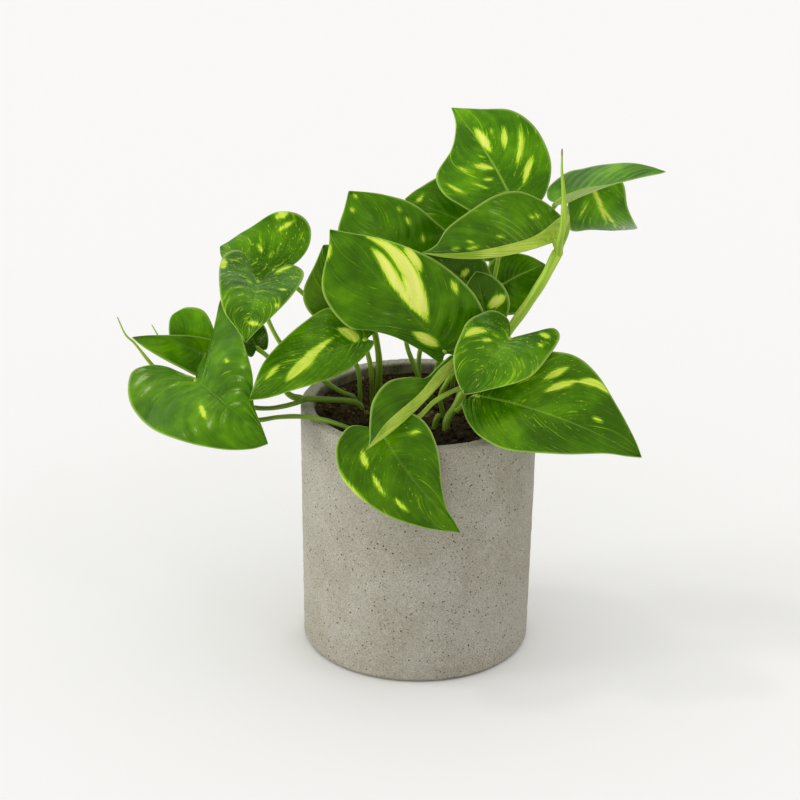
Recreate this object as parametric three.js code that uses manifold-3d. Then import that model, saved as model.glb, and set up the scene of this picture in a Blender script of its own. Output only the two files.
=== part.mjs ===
// Golden pothos in a round concrete pot. Millimetres, +Z up, origin at the centre of the pot's foot.
// -Y is the front. Every leaf blade, leaf stalk and stem is a piece of its own.
import * as THREE from 'three';
import { mergeVertices } from 'three/addons/utils/BufferGeometryUtils.js';
import Module from 'manifold-3d';

const wasm = await Module();
wasm.setup();

// pot
const POT_RIM_RADIUS = 70;
const POT_FOOT_RADIUS = 68;
const POT_HEIGHT = 150;
const POT_WALL = 8;
const POT_FLOOR = 9;
const POT_FOOT_ROUND = 3;
const POT_RIM_ROUND = 2;
const POT_SEGMENTS = 56;

// soil
const SOIL_TOP = 143;
const SOIL_CLEARANCE = 0.3;
const SOCKET_CLEARANCE = 0.5;
const SOCKET_FLOOR = 134;

// leaves and stalks
const BLADE_THICKNESS = 1.0;
const BLADE_STATIONS = 12;
const BLADE_STEPS = 3;
const RIB_POWER = 1.4;
const FOLD_ROUND = 2.5;
const STALK_RADIUS = 1.4;
const STALK_SIDES = 8;
const STALK_END_GAP = 2.1;

const POT_COLOUR = '#a8a296';
const SOIL_COLOUR = '#3a2c22';
const LEAF_COLOUR = '#3f8a2c';
const STALK_COLOUR = '#a9bf62';

// Each blade: junction and tip, the way its face looks, fold of each half at base and tip in degrees,
// arch of the midrib out of the blade, sway of the midrib to the left, ripple of the margin, and the
// outline of each half as distance along the blade and distance out from the line junction to tip.
const LEAVES = {
  leaf_01: {
    base: [53, 35, 263], tip: [17, 82, 305], face: [-0.1, -0.7, 0.7],
    foldLeft: [10, 6], foldRight: [10, 6], arch: 4, sway: -2, wave: 1.0,
    left: [[-6, 8], [2, 22], [11, 29], [22, 34], [35, 31], [47, 14], [60, 4]],
    right: [[-9, 7], [-6, 19], [8, 31], [30, 34], [49, 28], [61, 14]],
  },
  leaf_02: {
    base: [45, 62, 231], tip: [-10, 70, 252], face: [0, -0.8, 0.6],
    foldLeft: [6, 6], foldRight: [6, 6], arch: 4, sway: 0, wave: 0.6,
    left: [[-7, 6], [-2, 15], [20, 21], [42, 14]],
    right: [[-7, 6], [2, 17], [22, 24], [42, 22], [54, 9]],
  },
  leaf_03: {
    base: [76.5, 9, 249.7], tip: [0.3, -24.5, 252.5], face: [0, -0.2, 0.98],
    foldLeft: [84, 80], foldRight: [48, 40], arch: -7.5, sway: 0, wave: 0.8,
    left: [[-6, 8], [-6, 17], [1, 18], [7, 14], [14, 10.5], [24, 9], [36, 8], [48, 7], [66, 5]],
    right: [[-8, 8], [-5, 15], [3, 26], [15, 36], [29, 37], [45, 30], [62, 19], [72, 8]],
  },
  leaf_04: {
    base: [81, 15, 270], tip: [138, 5, 293], face: [0, -0.1, 1],
    foldLeft: [14, 10], foldRight: [36, 26], arch: 2, sway: 0, wave: 0.8,
    left: [[-9, 8], [-9, 20], [2, 28], [12, 27], [25, 24], [43, 15], [55, 7]],
    right: [[-5, 6], [-3, 12], [4, 15], [14, 15], [27, 13], [42, 10], [54, 6]],
  },
  leaf_05: {
    base: [97, 40, 275], tip: [113.6, 57, 238.4], face: [0, -0.87, -0.3],
    foldLeft: [8, 4], foldRight: [8, 4], arch: 6, sway: 0, wave: 0.6,
    left: [[-5, 5], [0, 14], [6, 19], [22, 16], [38, 15], [49, 14], [51.5, 12], [49, 7]],
    right: [[-5, 6], [-2, 12], [8, 16], [24, 21], [30, 19], [34, 10]],
  },
  leaf_06: {
    base: [3, 33, 211], tip: [-43, 45, 265], face: [0, -0.75, 0.65],
    foldLeft: [10, 5], foldRight: [12, 6], arch: 5, sway: 0, wave: 1.0,
    left: [[-8, 8], [-2, 18], [12, 24], [30, 28], [45, 31], [58, 22], [66, 9]],
    right: [[-11, 9], [-6, 24], [9, 30], [26, 27], [43, 23], [57, 14], [65, 7]],
  },
  leaf_07: {
    base: [14, -14, 188], tip: [-53, 8, 254], face: [0, -0.9, 0.42],
    foldLeft: [10, 5], foldRight: [12, 6], arch: 6, sway: -1, wave: 1.2,
    left: [[-3, 6], [8, 9], [25, 15], [38, 23], [48, 31], [64, 31], [77, 25], [89, 8]],
    right: [[-10, 6], [-12, 18], [-5, 29], [10, 35], [26, 35], [42, 32], [57, 26], [72, 18], [87, 7]],
  },
  leaf_08: {
    base: [-28, 11, 194], tip: [-57, 18, 241], face: [-0.3, -0.8, 0.5],
    foldLeft: [8, 5], foldRight: [8, 5], arch: 4, sway: 0, wave: 0.8,
    left: [[-3, 8], [2, 15], [13, 23], [28, 27], [39, 23], [49, 9]],
    right: [[-4, 7], [2, 16], [18, 22], [38, 18], [50, 9]],
  },
  leaf_09: {
    base: [-32, -15, 195], tip: [-97, -45, 169], face: [-0.1, -0.5, 0.85],
    foldLeft: [-30, -25], foldRight: [6, 5], arch: 3, sway: -3, wave: 1.0,
    left: [[-4, 4], [5, 9], [20, 12], [40, 11], [58, 7], [68, 4]],
    right: [[-9, 3], [-11, 10], [-4, 22], [8, 30], [22, 29], [40, 24], [58, 16], [70, 6]],
  },
  leaf_10: {
    base: [-86, 25, 222], tip: [-119, 48, 228], face: [0, -0.8, 0.6],
    foldLeft: [6, 5], foldRight: [12, 6], arch: 4, sway: 0, wave: 0.8,
    left: [[-9, 4], [-6, 11], [9, 14], [25, 11], [36, 5]],
    right: [[-9, 9], [-12, 21], [-8, 32], [1, 36], [14, 31], [24, 19], [34, 8]],
  },
  leaf_11: {
    base: [-94, 0, 224], tip: [-99, -42, 203], face: [0, -0.75, 0.65],
    foldLeft: [6, 3], foldRight: [6, 3], arch: 4, sway: 0, wave: 1.0,
    left: [[-10, 5], [-18, 15], [-13, 24], [-2, 25], [14, 20], [29, 12], [41, 4]],
    right: [[-12, 5], [-25, 13], [-24, 20], [-14, 24], [6, 22], [28, 16], [40, 6]],
  },
  leaf_12: {
    base: [51, -28, 202], tip: [25, -63, 182], face: [0, -0.7, 0.7],
    foldLeft: [14, 3], foldRight: [8, 3], arch: 5, sway: 0, wave: 1.0,
    left: [[-8, 4], [-20, 12], [-23, 18], [-15, 24], [11, 26], [25, 22], [41, 8]],
    right: [[-7, 4], [-13, 10], [-10, 20], [8, 24], [20, 22], [33, 18], [43, 9]],
  },
  leaf_13: {
    base: [33, -46, 174], tip: [126, -66, 146], face: [0.05, -0.72, 0.69],
    foldLeft: [8, 5], foldRight: [8, 4], arch: 5, sway: 3, wave: 1.2,
    left: [[-8, 7], [-4, 17], [8, 27], [24, 36], [42, 41], [58, 36], [76, 22], [92, 8]],
    right: [[-7, 5], [-4, 12], [2, 19], [12, 25], [29, 27], [55, 18], [78, 7], [91, 3]],
  },
  leaf_14: {
    base: [-22, -64, 158], tip: [24, -88, 108], face: [0, -0.9, 0.4],
    foldLeft: [4, 2], foldRight: [4, 2], arch: 4, sway: -2, wave: 1.2,
    left: [[-7, 6], [-2, 16], [5, 22], [16, 23], [30, 18], [45, 8], [56, 2.6], [65, 1.3]],
    right: [[-8, 4], [-14, 12], [-10, 24], [3, 32], [20, 32], [39, 26], [56, 15], [65, 7], [69, 3]],
  },
  leaf_15: {
    base: [20, -37.2, 189], tip: [-31, -93.2, 159.5], face: [-0.2, -0.5, 0.85],
    foldLeft: [98, 92], foldRight: [42, 24], arch: -5.3, sway: 0, wave: 0.6,
    left: [[-5, 6], [5, 9], [13, 11], [29, 10], [56, 11], [67, 8]],
    right: [[-3, 6], [8, 8], [18, 9], [25, 16], [37, 23], [51, 21], [62, 13], [73, 3]],
  },
  leaf_16: {
    base: [-130, -12, 167], tip: [-86, -56, 147], face: [-0.1, -0.68, 0.72],
    foldLeft: [8, 4], foldRight: [2, 2], arch: 5, sway: 0, wave: 1.2,
    left: [[-6, 6], [-12, 21], [-24, 38], [-29, 48], [-14, 45], [12, 32], [28, 23], [42, 11], [57, 4]],
    right: [[-6, 1], [-22, 4], [-34, 11], [-38, 22], [-22, 35], [6, 39], [30, 33], [50, 21], [61, 9]],
  },
  leaf_17: {
    base: [-126, 15, 172], tip: [-168, 1, 188], face: [-0.1, -0.75, 0.65],
    foldLeft: [6, 4], foldRight: [20, 20], arch: 3, sway: -2, wave: 0.8,
    left: [[-6, 6], [-3, 12], [6, 15], [20, 12], [39, 5]],
    right: [[-6, 5], [-2, 10], [10, 9], [24, 6], [38, 3]],
  },
  leaf_18: {
    base: [-129, 22, 169], tip: [-146, 24, 194], face: [0.1, -0.9, 0.3],
    foldLeft: [8, 5], foldRight: [8, 5], arch: 3, sway: 0, wave: 0.6,
    left: [[-4, 4], [1, 10], [10, 12], [21, 9], [28, 4]],
    right: [[-4, 5], [2, 11], [11, 15], [22, 16], [29, 9]],
  },
  leaf_19: {
    base: [-95.5, 8, 180], tip: [-108, 22, 195], face: [0.3, -0.6, 0.7],
    foldLeft: [8, 5], foldRight: [8, 5], arch: 2, sway: 0, wave: 0.5,
    left: [[-4, 6], [2, 11], [12, 10], [20, 5]],
    right: [[-3, 5], [3, 9], [13, 10], [21, 6]],
  },
  leaf_20: {
    base: [39, 5, 199], tip: [32, 12, 228], face: [0, -0.8, 0.6],
    foldLeft: [8, 6], foldRight: [8, 6], arch: 3, sway: 0, wave: 0.5,
    left: [[-4, 5], [3, 11], [14, 12], [24, 8]],
    right: [[-4, 5], [0, 11], [10, 15], [20, 13], [27, 7]],
  },
  leaf_21: {
    base: [45, 44, 206], tip: [74, 48, 220], face: [0, -0.8, 0.6],
    foldLeft: [8, 5], foldRight: [8, 5], arch: 3, sway: 0, wave: 0.6,
    left: [[-4, 6], [1, 13], [12, 16], [25, 9]],
    right: [[-6, 7], [-3, 17], [10, 21], [25, 12]],
  },
  leaf_22: {
    base: [35, 26, 210], tip: [2, 18, 237], face: [0, -0.8, 0.6],
    foldLeft: [8, 5], foldRight: [8, 5], arch: 3, sway: 0, wave: 0.6,
    left: [[-5, 5], [2, 13], [17, 17], [32, 11]],
    right: [[-5, 5], [2, 13], [16, 17], [32, 11]],
  },
};

// Each stem: points along its middle, radius at the start and at the end.
// A stem that names a leaf ends just behind that leaf's junction.
// A stem that is rooted starts in a socket in the soil.
const STEMS = {
  vine_right: {
    path: [[16, -23, 142], [16.4, -22.8, 149], [21, -20, 156], [26, -16, 164], [41, -4, 182],
      [53, 1, 198], [63, 3, 213], [72, 4, 229], [78, 5, 242]],
    radius: [2.2, 3.2], rooted: true,
  },
  vine_left: {
    path: [[-34, 4, 142], [-34, 4, 144.5], [-37, 3.4, 147.4], [-43, 2, 149.4], [-53, -2, 151.6],
      [-64, -5, 153.4], [-71, -6.3, 154]],
    radius: [2.0, 1.8], rooted: true,
  },
  stub_left: { path: [[-74.2, -6, 155.2], [-77.4, -6.2, 158], [-76.6, -6.4, 162.2]], radius: [1.9, 1.7] },
  stub_centre: { path: [[9, -20, 142], [9.5, -20, 146], [11, -20, 150]], radius: [1.8, 1.8], rooted: true },
  spike_right: {
    path: [[79, 0, 251], [80.5, -3, 262], [80.5, -6, 273], [79.5, -8, 286], [78.3, -8, 297], [78, -7, 309]],
    radius: [2.2, 1.0],
  },
  spike_left_a: {
    path: [[-119, 14, 150], [-131, 20, 148], [-146, 24, 150], [-157, 23, 160], [-168.5, 16, 179],
      [-172.5, 12, 185], [-176.5, 5, 199]],
    radius: [1.9, 0.8],
  },
  spike_left_b: {
    path: [[-123, 9, 159], [-132, 12, 161], [-143, 12.5, 168], [-149, 11.5, 177], [-157, 9, 193]],
    radius: [1.3, 0.7],
  },
  petiole_01: {
    path: [[26, 22, 142], [26.4, 22.4, 149], [30, 28, 160], [39, 32, 190], [44, 35, 218],
      [46, 37, 229], [49, 38, 246]],
    leaf: 'leaf_01', rooted: true,
  },
  petiole_02: {
    path: [[20, 40, 142], [21, 41, 149], [28, 47, 162], [36, 55, 190], [42, 65, 212], [44.5, 69, 223]],
    leaf: 'leaf_02', rooted: true,
  },
  petiole_03: { path: [[78.4, 5.6, 243.7], [77.4, 7.4, 246.6]], leaf: 'leaf_03' },
  petiole_04: { path: [[80.5, 10, 244.5], [84, 13.5, 254], [83.5, 17, 263]], leaf: 'leaf_04' },
  petiole_05: {
    path: [[78, 13, 246], [75, 22, 249], [74, 36, 253], [80, 48, 259], [89, 51, 269]],
    leaf: 'leaf_05',
  },
  petiole_06: {
    path: [[1, 29, 142], [0.5, 29, 148], [-1.5, 29.5, 157], [-8, 31, 176], [-6, 37, 192], [0, 40.5, 203]],
    leaf: 'leaf_06', rooted: true,
  },
  petiole_07: {
    path: [[7, 20, 142], [7.3, 19, 149], [9, 12, 160], [10, 4, 170], [12, -6, 181]],
    leaf: 'leaf_07', rooted: true,
  },
  petiole_08: {
    path: [[-24, 26, 142], [-24, 26, 149], [-24, 22, 168], [-26, 17, 184]],
    leaf: 'leaf_08', rooted: true, radius: [2.2, 1.8],
  },
  petiole_09: {
    path: [[-28, 18, 142], [-28, 17.5, 149], [-28, 10, 160], [-29, -2, 175], [-31, -11, 188]],
    leaf: 'leaf_09', rooted: true,
  },
  petiole_10: {
    path: [[-35, 14, 142], [-35, 14, 149], [-37, 16, 166], [-46, 20, 178], [-55, 25, 191],
      [-68, 29, 205], [-80, 29, 216]],
    leaf: 'leaf_10', rooted: true,
  },
  petiole_11: {
    path: [[-37, 9, 142], [-38, 9, 148], [-46, 7, 153], [-56, 4, 161], [-68, 1, 170], [-79, -1, 183],
      [-88, -1, 200], [-93, 1, 217]],
    leaf: 'leaf_11', rooted: true,
  },
  petiole_12: { path: [[48, -7, 192], [49.5, -14, 196], [50.5, -22, 199]], leaf: 'leaf_12' },
  petiole_13: { path: [[22, -24.5, 155.5], [25, -31, 162], [30, -40, 170]], leaf: 'leaf_13' },
  petiole_14: {
    end: 2.4,
    path: [[29, -19, 165], [24, -26, 170], [16, -36, 171], [8, -42, 168], [-1, -53, 163],
      [-11, -56, 159], [-17, -59, 157.4]],
    leaf: 'leaf_14',
  },
  petiole_15: {
    path: [[14, -8, 142], [13.5, -8.5, 149], [12, -10, 156], [13, -14, 163], [16, -21.5, 172.5],
      [19.2, -31, 183.5]],
    leaf: 'leaf_15', rooted: true,
  },
  petiole_16: {
    path: [[-72, -10.6, 153], [-79, -12, 151.5], [-88, -12, 150], [-99, -10, 150], [-115, -7, 156],
      [-126, -8.5, 163]],
    leaf: 'leaf_16',
  },
  petiole_17: {
    path: [[-35, -38.5, 142], [-35.4, -38.5, 145], [-38.5, -37.7, 148], [-47, -36, 151], [-57, -34, 153],
      [-69, -31.5, 153.5], [-81, -27, 151], [-95, -20, 146], [-106, -10, 146], [-115, 3, 152],
      [-119, 15, 159], [-122, 21, 166]],
    leaf: 'leaf_17', rooted: true,
  },
  petiole_18: {
    path: [[-111, 4, 151], [-114, 14, 152], [-121, 23, 158], [-127, 26, 164]],
    leaf: 'leaf_18',
  },
  petiole_19: { path: [[-80, -4, 168], [-84, -1, 172], [-89, 4, 176]], leaf: 'leaf_19' },
  petiole_20: {
    path: [[22, 8, 142], [22.5, 8, 149], [28, 10, 163], [35, 12, 182], [38, 12, 190]],
    leaf: 'leaf_20', rooted: true,
  },
  petiole_21: {
    path: [[33, 16, 142], [33, 17, 149], [37, 26, 165], [40, 41, 185], [43, 50, 197]],
    leaf: 'leaf_21', rooted: true,
  },
  petiole_22: {
    path: [[0, 38, 142], [0, 38, 150], [0.5, 38.5, 168], [8, 40, 186], [23, 36.5, 200]],
    leaf: 'leaf_22', rooted: true,
  },
};

function weld(geometry) {
  const bare = geometry.index ? geometry.toNonIndexed() : geometry.clone();
  bare.deleteAttribute('normal');
  bare.deleteAttribute('uv');
  const merged = mergeVertices(bare, 1e-3);
  const corners = merged.index.array;
  const kept = [];
  for (let i = 0; i < corners.length; i += 3) {
    const [a, b, c] = [corners[i], corners[i + 1], corners[i + 2]];
    if (a !== b && b !== c && c !== a) kept.push(a, b, c);
  }
  merged.setIndex(kept);
  merged.computeVertexNormals();
  return merged;
}

function toSolid(geometry) {
  const welded = weld(geometry);
  return new wasm.Manifold(new wasm.Mesh({
    numProp: 3,
    vertProperties: new Float32Array(welded.attributes.position.array),
    triVerts: new Uint32Array(welded.index.array),
  }));
}

function fromSolid(solid) {
  const mesh = solid.getMesh();
  const geometry = new THREE.BufferGeometry();
  geometry.setAttribute('position', new THREE.BufferAttribute(new Float32Array(mesh.vertProperties), 3));
  geometry.setIndex(Array.from(mesh.triVerts));
  geometry.computeVertexNormals();
  return geometry;
}

// A turned shape about +Z from a profile of radius and height.
function turned(profile, segments) {
  const geometry = new THREE.LatheGeometry(profile, segments);
  geometry.rotateX(Math.PI / 2);
  return weld(geometry);
}

function potProfile() {
  const outline = new THREE.Path();
  const innerTop = POT_RIM_RADIUS - POT_WALL;
  const innerFoot = POT_FOOT_RADIUS - POT_WALL;
  outline.moveTo(0, 0);
  outline.lineTo(POT_FOOT_RADIUS - POT_FOOT_ROUND, 0);
  outline.quadraticCurveTo(POT_FOOT_RADIUS, 0, POT_FOOT_RADIUS, POT_FOOT_ROUND);
  outline.lineTo(POT_RIM_RADIUS, POT_HEIGHT - POT_RIM_ROUND);
  outline.quadraticCurveTo(POT_RIM_RADIUS, POT_HEIGHT, POT_RIM_RADIUS - POT_RIM_ROUND, POT_HEIGHT);
  outline.lineTo(innerTop + 1, POT_HEIGHT);
  outline.quadraticCurveTo(innerTop, POT_HEIGHT, innerTop, POT_HEIGHT - 1);
  outline.lineTo(innerFoot, POT_FLOOR);
  outline.lineTo(0, POT_FLOOR);
  return outline.getPoints(4);
}

function soilProfile() {
  const slope = (POT_RIM_RADIUS - POT_FOOT_RADIUS) / (POT_HEIGHT - POT_FLOOR);
  const bottom = POT_FLOOR + SOIL_CLEARANCE;
  const wallAt = (z) => POT_FOOT_RADIUS - POT_WALL + slope * (z - POT_FLOOR) - SOIL_CLEARANCE - 0.1;
  return [
    new THREE.Vector2(0, bottom),
    new THREE.Vector2(wallAt(bottom), bottom),
    new THREE.Vector2(wallAt(SOIL_TOP - 1), SOIL_TOP - 1),
    new THREE.Vector2(wallAt(SOIL_TOP) - 4, SOIL_TOP),
    new THREE.Vector2(0, SOIL_TOP),
  ];
}

function bend(u) {
  return u < 0 ? (4 * u) / (1 - 2 * u) : 4 * u * (1 - u);
}

function bladeFrame(leaf) {
  const base = new THREE.Vector3(...leaf.base);
  const along = new THREE.Vector3(...leaf.tip).sub(base);
  const length = along.length();
  along.normalize();
  const up = new THREE.Vector3(...leaf.face);
  up.addScaledVector(along, -up.dot(along)).normalize();
  const left = new THREE.Vector3().crossVectors(up, along);
  return { base, along, up, left, length };
}

// Points of the blade's middle surface: one row of stations for each step out from the midrib.
function halfBlade(leaf, frame, side) {
  const outline = side > 0 ? leaf.left : leaf.right;
  const fold = side > 0 ? leaf.foldLeft : leaf.foldRight;
  const corners = [[0, 0], ...outline, [frame.length, 0]].map(([a, o]) => new THREE.Vector2(a, o));
  const margin = new THREE.SplineCurve(corners).getSpacedPoints(BLADE_STATIONS);
  const grid = [];
  for (let i = 0; i <= BLADE_STATIONS; i += 1) {
    const s = i / BLADE_STATIONS;
    const ribAlong = frame.length * s ** RIB_POWER;
    const ribOut = leaf.sway * bend(ribAlong / frame.length);
    const row = [];
    for (let j = 0; j <= BLADE_STEPS; j += 1) {
      const t = j / BLADE_STEPS;
      const a = ribAlong + (margin[i].x - ribAlong) * t;
      const y = ribOut + (side * margin[i].y - ribOut) * t;
      const u = a / frame.length;
      const sway = leaf.sway * bend(u);
      const out = side * (y - sway);
      const folded = THREE.MathUtils.degToRad(fold[0] + (fold[1] - fold[0]) * THREE.MathUtils.clamp(u, 0, 1));
      const rise = Math.sin(folded) * (Math.sqrt(out * out + FOLD_ROUND * FOLD_ROUND) - FOLD_ROUND);
      const ripple = leaf.wave * t * t * Math.sin(Math.PI * s) * Math.sin(9 * s + side + frame.length);
      row.push(frame.base.clone()
        .addScaledVector(frame.along, a)
        .addScaledVector(frame.left, sway + side * out * Math.cos(folded))
        .addScaledVector(frame.up, leaf.arch * bend(u) + rise + ripple));
    }
    grid.push(row);
  }
  return grid;
}

// A closed plate: the middle surface moved half a thickness each way, joined along the margin.
function blade(leaf) {
  const frame = bladeFrame(leaf);
  const points = [];
  const keys = new Map();
  const index = (p) => {
    const key = `${p.x.toFixed(3)},${p.y.toFixed(3)},${p.z.toFixed(3)}`;
    if (!keys.has(key)) {
      keys.set(key, points.length);
      points.push(p);
    }
    return keys.get(key);
  };
  const faces = [];
  const margins = [];
  for (const side of [1, -1]) {
    const ids = halfBlade(leaf, frame, side).map((row) => row.map(index));
    for (let i = 0; i < BLADE_STATIONS; i += 1) {
      for (let j = 0; j < BLADE_STEPS; j += 1) {
        const [p, q, r, s] = [ids[i][j], ids[i + 1][j], ids[i + 1][j + 1], ids[i][j + 1]];
        if (side > 0) faces.push([p, q, r], [p, r, s]);
        else faces.push([p, r, q], [p, s, r]);
      }
      const edge = [ids[i][BLADE_STEPS], ids[i + 1][BLADE_STEPS]];
      margins.push(side > 0 ? edge : [edge[1], edge[0]]);
    }
  }
  const sheet = faces.filter(([a, b, c]) => a !== b && b !== c && c !== a);
  const normals = points.map(() => new THREE.Vector3());
  for (const [a, b, c] of sheet) {
    const n = new THREE.Vector3().subVectors(points[b], points[a])
      .cross(new THREE.Vector3().subVectors(points[c], points[a]));
    for (const k of [a, b, c]) normals[k].add(n);
  }
  const half = BLADE_THICKNESS / 2;
  const top = points.map((p, k) => p.clone().addScaledVector(normals[k].normalize(), half));
  const under = points.map((p, k) => p.clone().addScaledVector(normals[k], -half));
  const positions = [];
  const put = (...corners) => corners.forEach((p) => positions.push(p.x, p.y, p.z));
  for (const [a, b, c] of sheet) {
    put(top[a], top[b], top[c]);
    put(under[a], under[c], under[b]);
  }
  for (const [a, b] of margins) {
    put(top[a], top[b], under[b]);
    put(top[a], under[b], under[a]);
  }
  const geometry = new THREE.BufferGeometry();
  geometry.setAttribute('position', new THREE.Float32BufferAttribute(positions, 3));
  return weld(geometry);
}

function stemCurve(stem) {
  const path = stem.path.map((p) => new THREE.Vector3(...p));
  if (stem.leaf) {
    const junction = new THREE.Vector3(...LEAVES[stem.leaf].base);
    const last = path[path.length - 1];
    const away = new THREE.Vector3().subVectors(last, junction).normalize();
    path.push(junction.addScaledVector(away, stem.end ?? STALK_END_GAP));
  }
  if (stem.rooted) path[0].z = SOCKET_FLOOR + SOIL_CLEARANCE + 0.2;
  return new THREE.CatmullRomCurve3(path, false, 'centripetal');
}

// A round stem that tapers from its first radius to its second, with flat ends.
function sweep(stem) {
  const curve = stemCurve(stem);
  const steps = Math.max(2, Math.min(16, Math.round(curve.getLength() / 9)));
  const [start, end] = stem.radius ?? [STALK_RADIUS, STALK_RADIUS];
  const { normals, binormals } = curve.computeFrenetFrames(steps, false);
  const rings = [];
  for (let i = 0; i <= steps; i += 1) {
    const centre = curve.getPointAt(i / steps);
    const radius = start + (end - start) * (i / steps);
    const ring = [];
    for (let k = 0; k < STALK_SIDES; k += 1) {
      const angle = (2 * Math.PI * k) / STALK_SIDES;
      ring.push(centre.clone()
        .addScaledVector(normals[i], radius * Math.cos(angle))
        .addScaledVector(binormals[i], radius * Math.sin(angle)));
    }
    rings.push({ centre, ring });
  }
  const positions = [];
  const put = (...corners) => corners.forEach((p) => positions.push(p.x, p.y, p.z));
  for (let k = 0; k < STALK_SIDES; k += 1) {
    const next = (k + 1) % STALK_SIDES;
    for (let i = 0; i < steps; i += 1) {
      const [low, high] = [rings[i].ring, rings[i + 1].ring];
      put(low[k], low[next], high[next]);
      put(low[k], high[next], high[k]);
    }
    put(rings[0].centre, rings[0].ring[next], rings[0].ring[k]);
    put(rings[steps].centre, rings[steps].ring[k], rings[steps].ring[next]);
  }
  const geometry = new THREE.BufferGeometry();
  geometry.setAttribute('position', new THREE.Float32BufferAttribute(positions, 3));
  return weld(geometry);
}

function soilGeometry() {
  let soil = toSolid(turned(soilProfile(), POT_SEGMENTS));
  for (const stem of Object.values(STEMS)) {
    if (!stem.rooted) continue;
    const radius = (stem.radius ? stem.radius[0] : STALK_RADIUS) + SOCKET_CLEARANCE;
    const depth = SOIL_TOP + 4 - SOCKET_FLOOR;
    const hole = new THREE.CylinderGeometry(radius, radius, depth, 12);
    hole.rotateX(Math.PI / 2);
    hole.translate(stem.path[0][0], stem.path[0][1], SOCKET_FLOOR + depth / 2);
    soil = soil.subtract(toSolid(hole));
  }
  return fromSolid(soil);
}

function material(colour, roughness) {
  return new THREE.MeshStandardMaterial({ color: colour, roughness, metalness: 0, side: THREE.DoubleSide });
}

const plant = new THREE.Group();
function add(name, geometry, colour, roughness) {
  const mesh = new THREE.Mesh(geometry, material(colour, roughness));
  mesh.name = name;
  plant.add(mesh);
}

add('pot', turned(potProfile(), POT_SEGMENTS), POT_COLOUR, 0.9);
add('soil', soilGeometry(), SOIL_COLOUR, 1);
for (const [name, stem] of Object.entries(STEMS)) add(name, sweep(stem), STALK_COLOUR, 0.5);
for (const [name, leaf] of Object.entries(LEAVES)) add(name, blade(leaf), LEAF_COLOUR, 0.3);

export default plant;
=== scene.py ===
import math

import bmesh
import bpy
import numpy as np
from mathutils import Matrix, Vector


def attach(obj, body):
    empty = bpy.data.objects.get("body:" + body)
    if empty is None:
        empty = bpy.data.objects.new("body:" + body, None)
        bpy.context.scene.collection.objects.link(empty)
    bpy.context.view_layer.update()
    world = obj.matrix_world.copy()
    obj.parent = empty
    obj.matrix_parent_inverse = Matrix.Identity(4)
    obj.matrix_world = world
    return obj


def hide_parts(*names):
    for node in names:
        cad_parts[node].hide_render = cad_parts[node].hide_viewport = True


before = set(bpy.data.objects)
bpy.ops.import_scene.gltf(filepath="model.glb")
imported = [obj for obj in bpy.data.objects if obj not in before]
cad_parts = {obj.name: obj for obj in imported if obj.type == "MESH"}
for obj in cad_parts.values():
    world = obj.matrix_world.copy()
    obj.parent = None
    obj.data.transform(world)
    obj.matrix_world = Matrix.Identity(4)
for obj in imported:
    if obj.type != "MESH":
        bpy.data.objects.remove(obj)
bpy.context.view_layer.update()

MM = 0.001

# Camera, fitted to the pot's outline: it looks down a little, and leans by less than a degree.
CAMERA_TARGET = (-11.21, 0.0, 151.32)
CAMERA_DISTANCE = 1600.0
CAMERA_ELEVATION = 23.05
CAMERA_ROLL = 0.80
CAMERA_LENS = 122.5
SENSOR_WIDTH = 36.0

# Floor and light. Each sun: strength, the way it stands, and how soft its shadow is in degrees.
FLOOR_RADIUS = 6000
FLOOR_DROP = 0.3
FLOOR_SIDES = 96
FLOOR_COLOUR = (0.890, 0.886, 0.880)
SKY_COLOUR = (1.0, 0.995, 0.985, 1)
SKY_STRENGTH = 0.94
SUNS = {
    "key": (1.80, (-0.95, -0.22, 0.09), 24),
    "softbox": (0.20, (-0.50, 0.06, 0.86), 6),
    "window": (0.07, (0.45, -0.53, 0.70), 5),
}

# Pot, in millimetres
POT_RIM_RADIUS = 70.0
POT_FOOT_RADIUS = 68.0
POT_HEIGHT = 150.0
POT_WALL = 8.0
POT_FLOOR = 9.0
POT_FOOT_ROUND = 3.5
POT_RIM_ROUND = 2.2
POT_INNER_ROUND = 1.8
POT_TURNS = 256

# Soil. Each set of hills: size, depth and seed.
SOIL_TOP = 143.0
SOIL_RADIUS = 61.4
SOIL_BOTTOM = 9.4
SOIL_RINGS = 96
SOIL_TURNS = 320
SOIL_HILLS = ((14, 2.6, 1), (6, 2.0, 2), (2.8, 1.5, 3), (1.4, 0.9, 4))
CRUMBS = 900
CRUMB_SEED = 21

# Blades
BLADE_HALF_THICKNESS = 0.25
RIB_POWER = 1.8
FOLD_ROUND = 2.5
RIPPLE_PACE = 9
VEIN_SLOPE = 0.30
VEIN_BOW = 0.14
VEIN_COUNT = 12
QUILT_DEPTH = 0.17
UNEVEN_DEPTH = 0.9
UNEVEN_SIZE = 17
CHANNEL_DEPTH = 0.40
RIDGE_HEIGHT = 1.15
PALE_MARGIN_WIDTH = 0.30
STREAK_SOFTNESS = 4.5
STREAK_STEPS = 15
STATION_SPACING = 1.15
STEP_SPACING = 1.2
STEP_POWER = 1.25
UV_UNIT = 100

# Stems
STALK_RADIUS = 1.4
STALK_SIDES = 20
RING_SPACING = 1.2
FOOT_SWELL, FOOT_REACH = 0.22, 6.0
KNEE_SWELL, KNEE_REACH = 0.16, 5.0
GROOVE_DEPTH = 0.20

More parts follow.
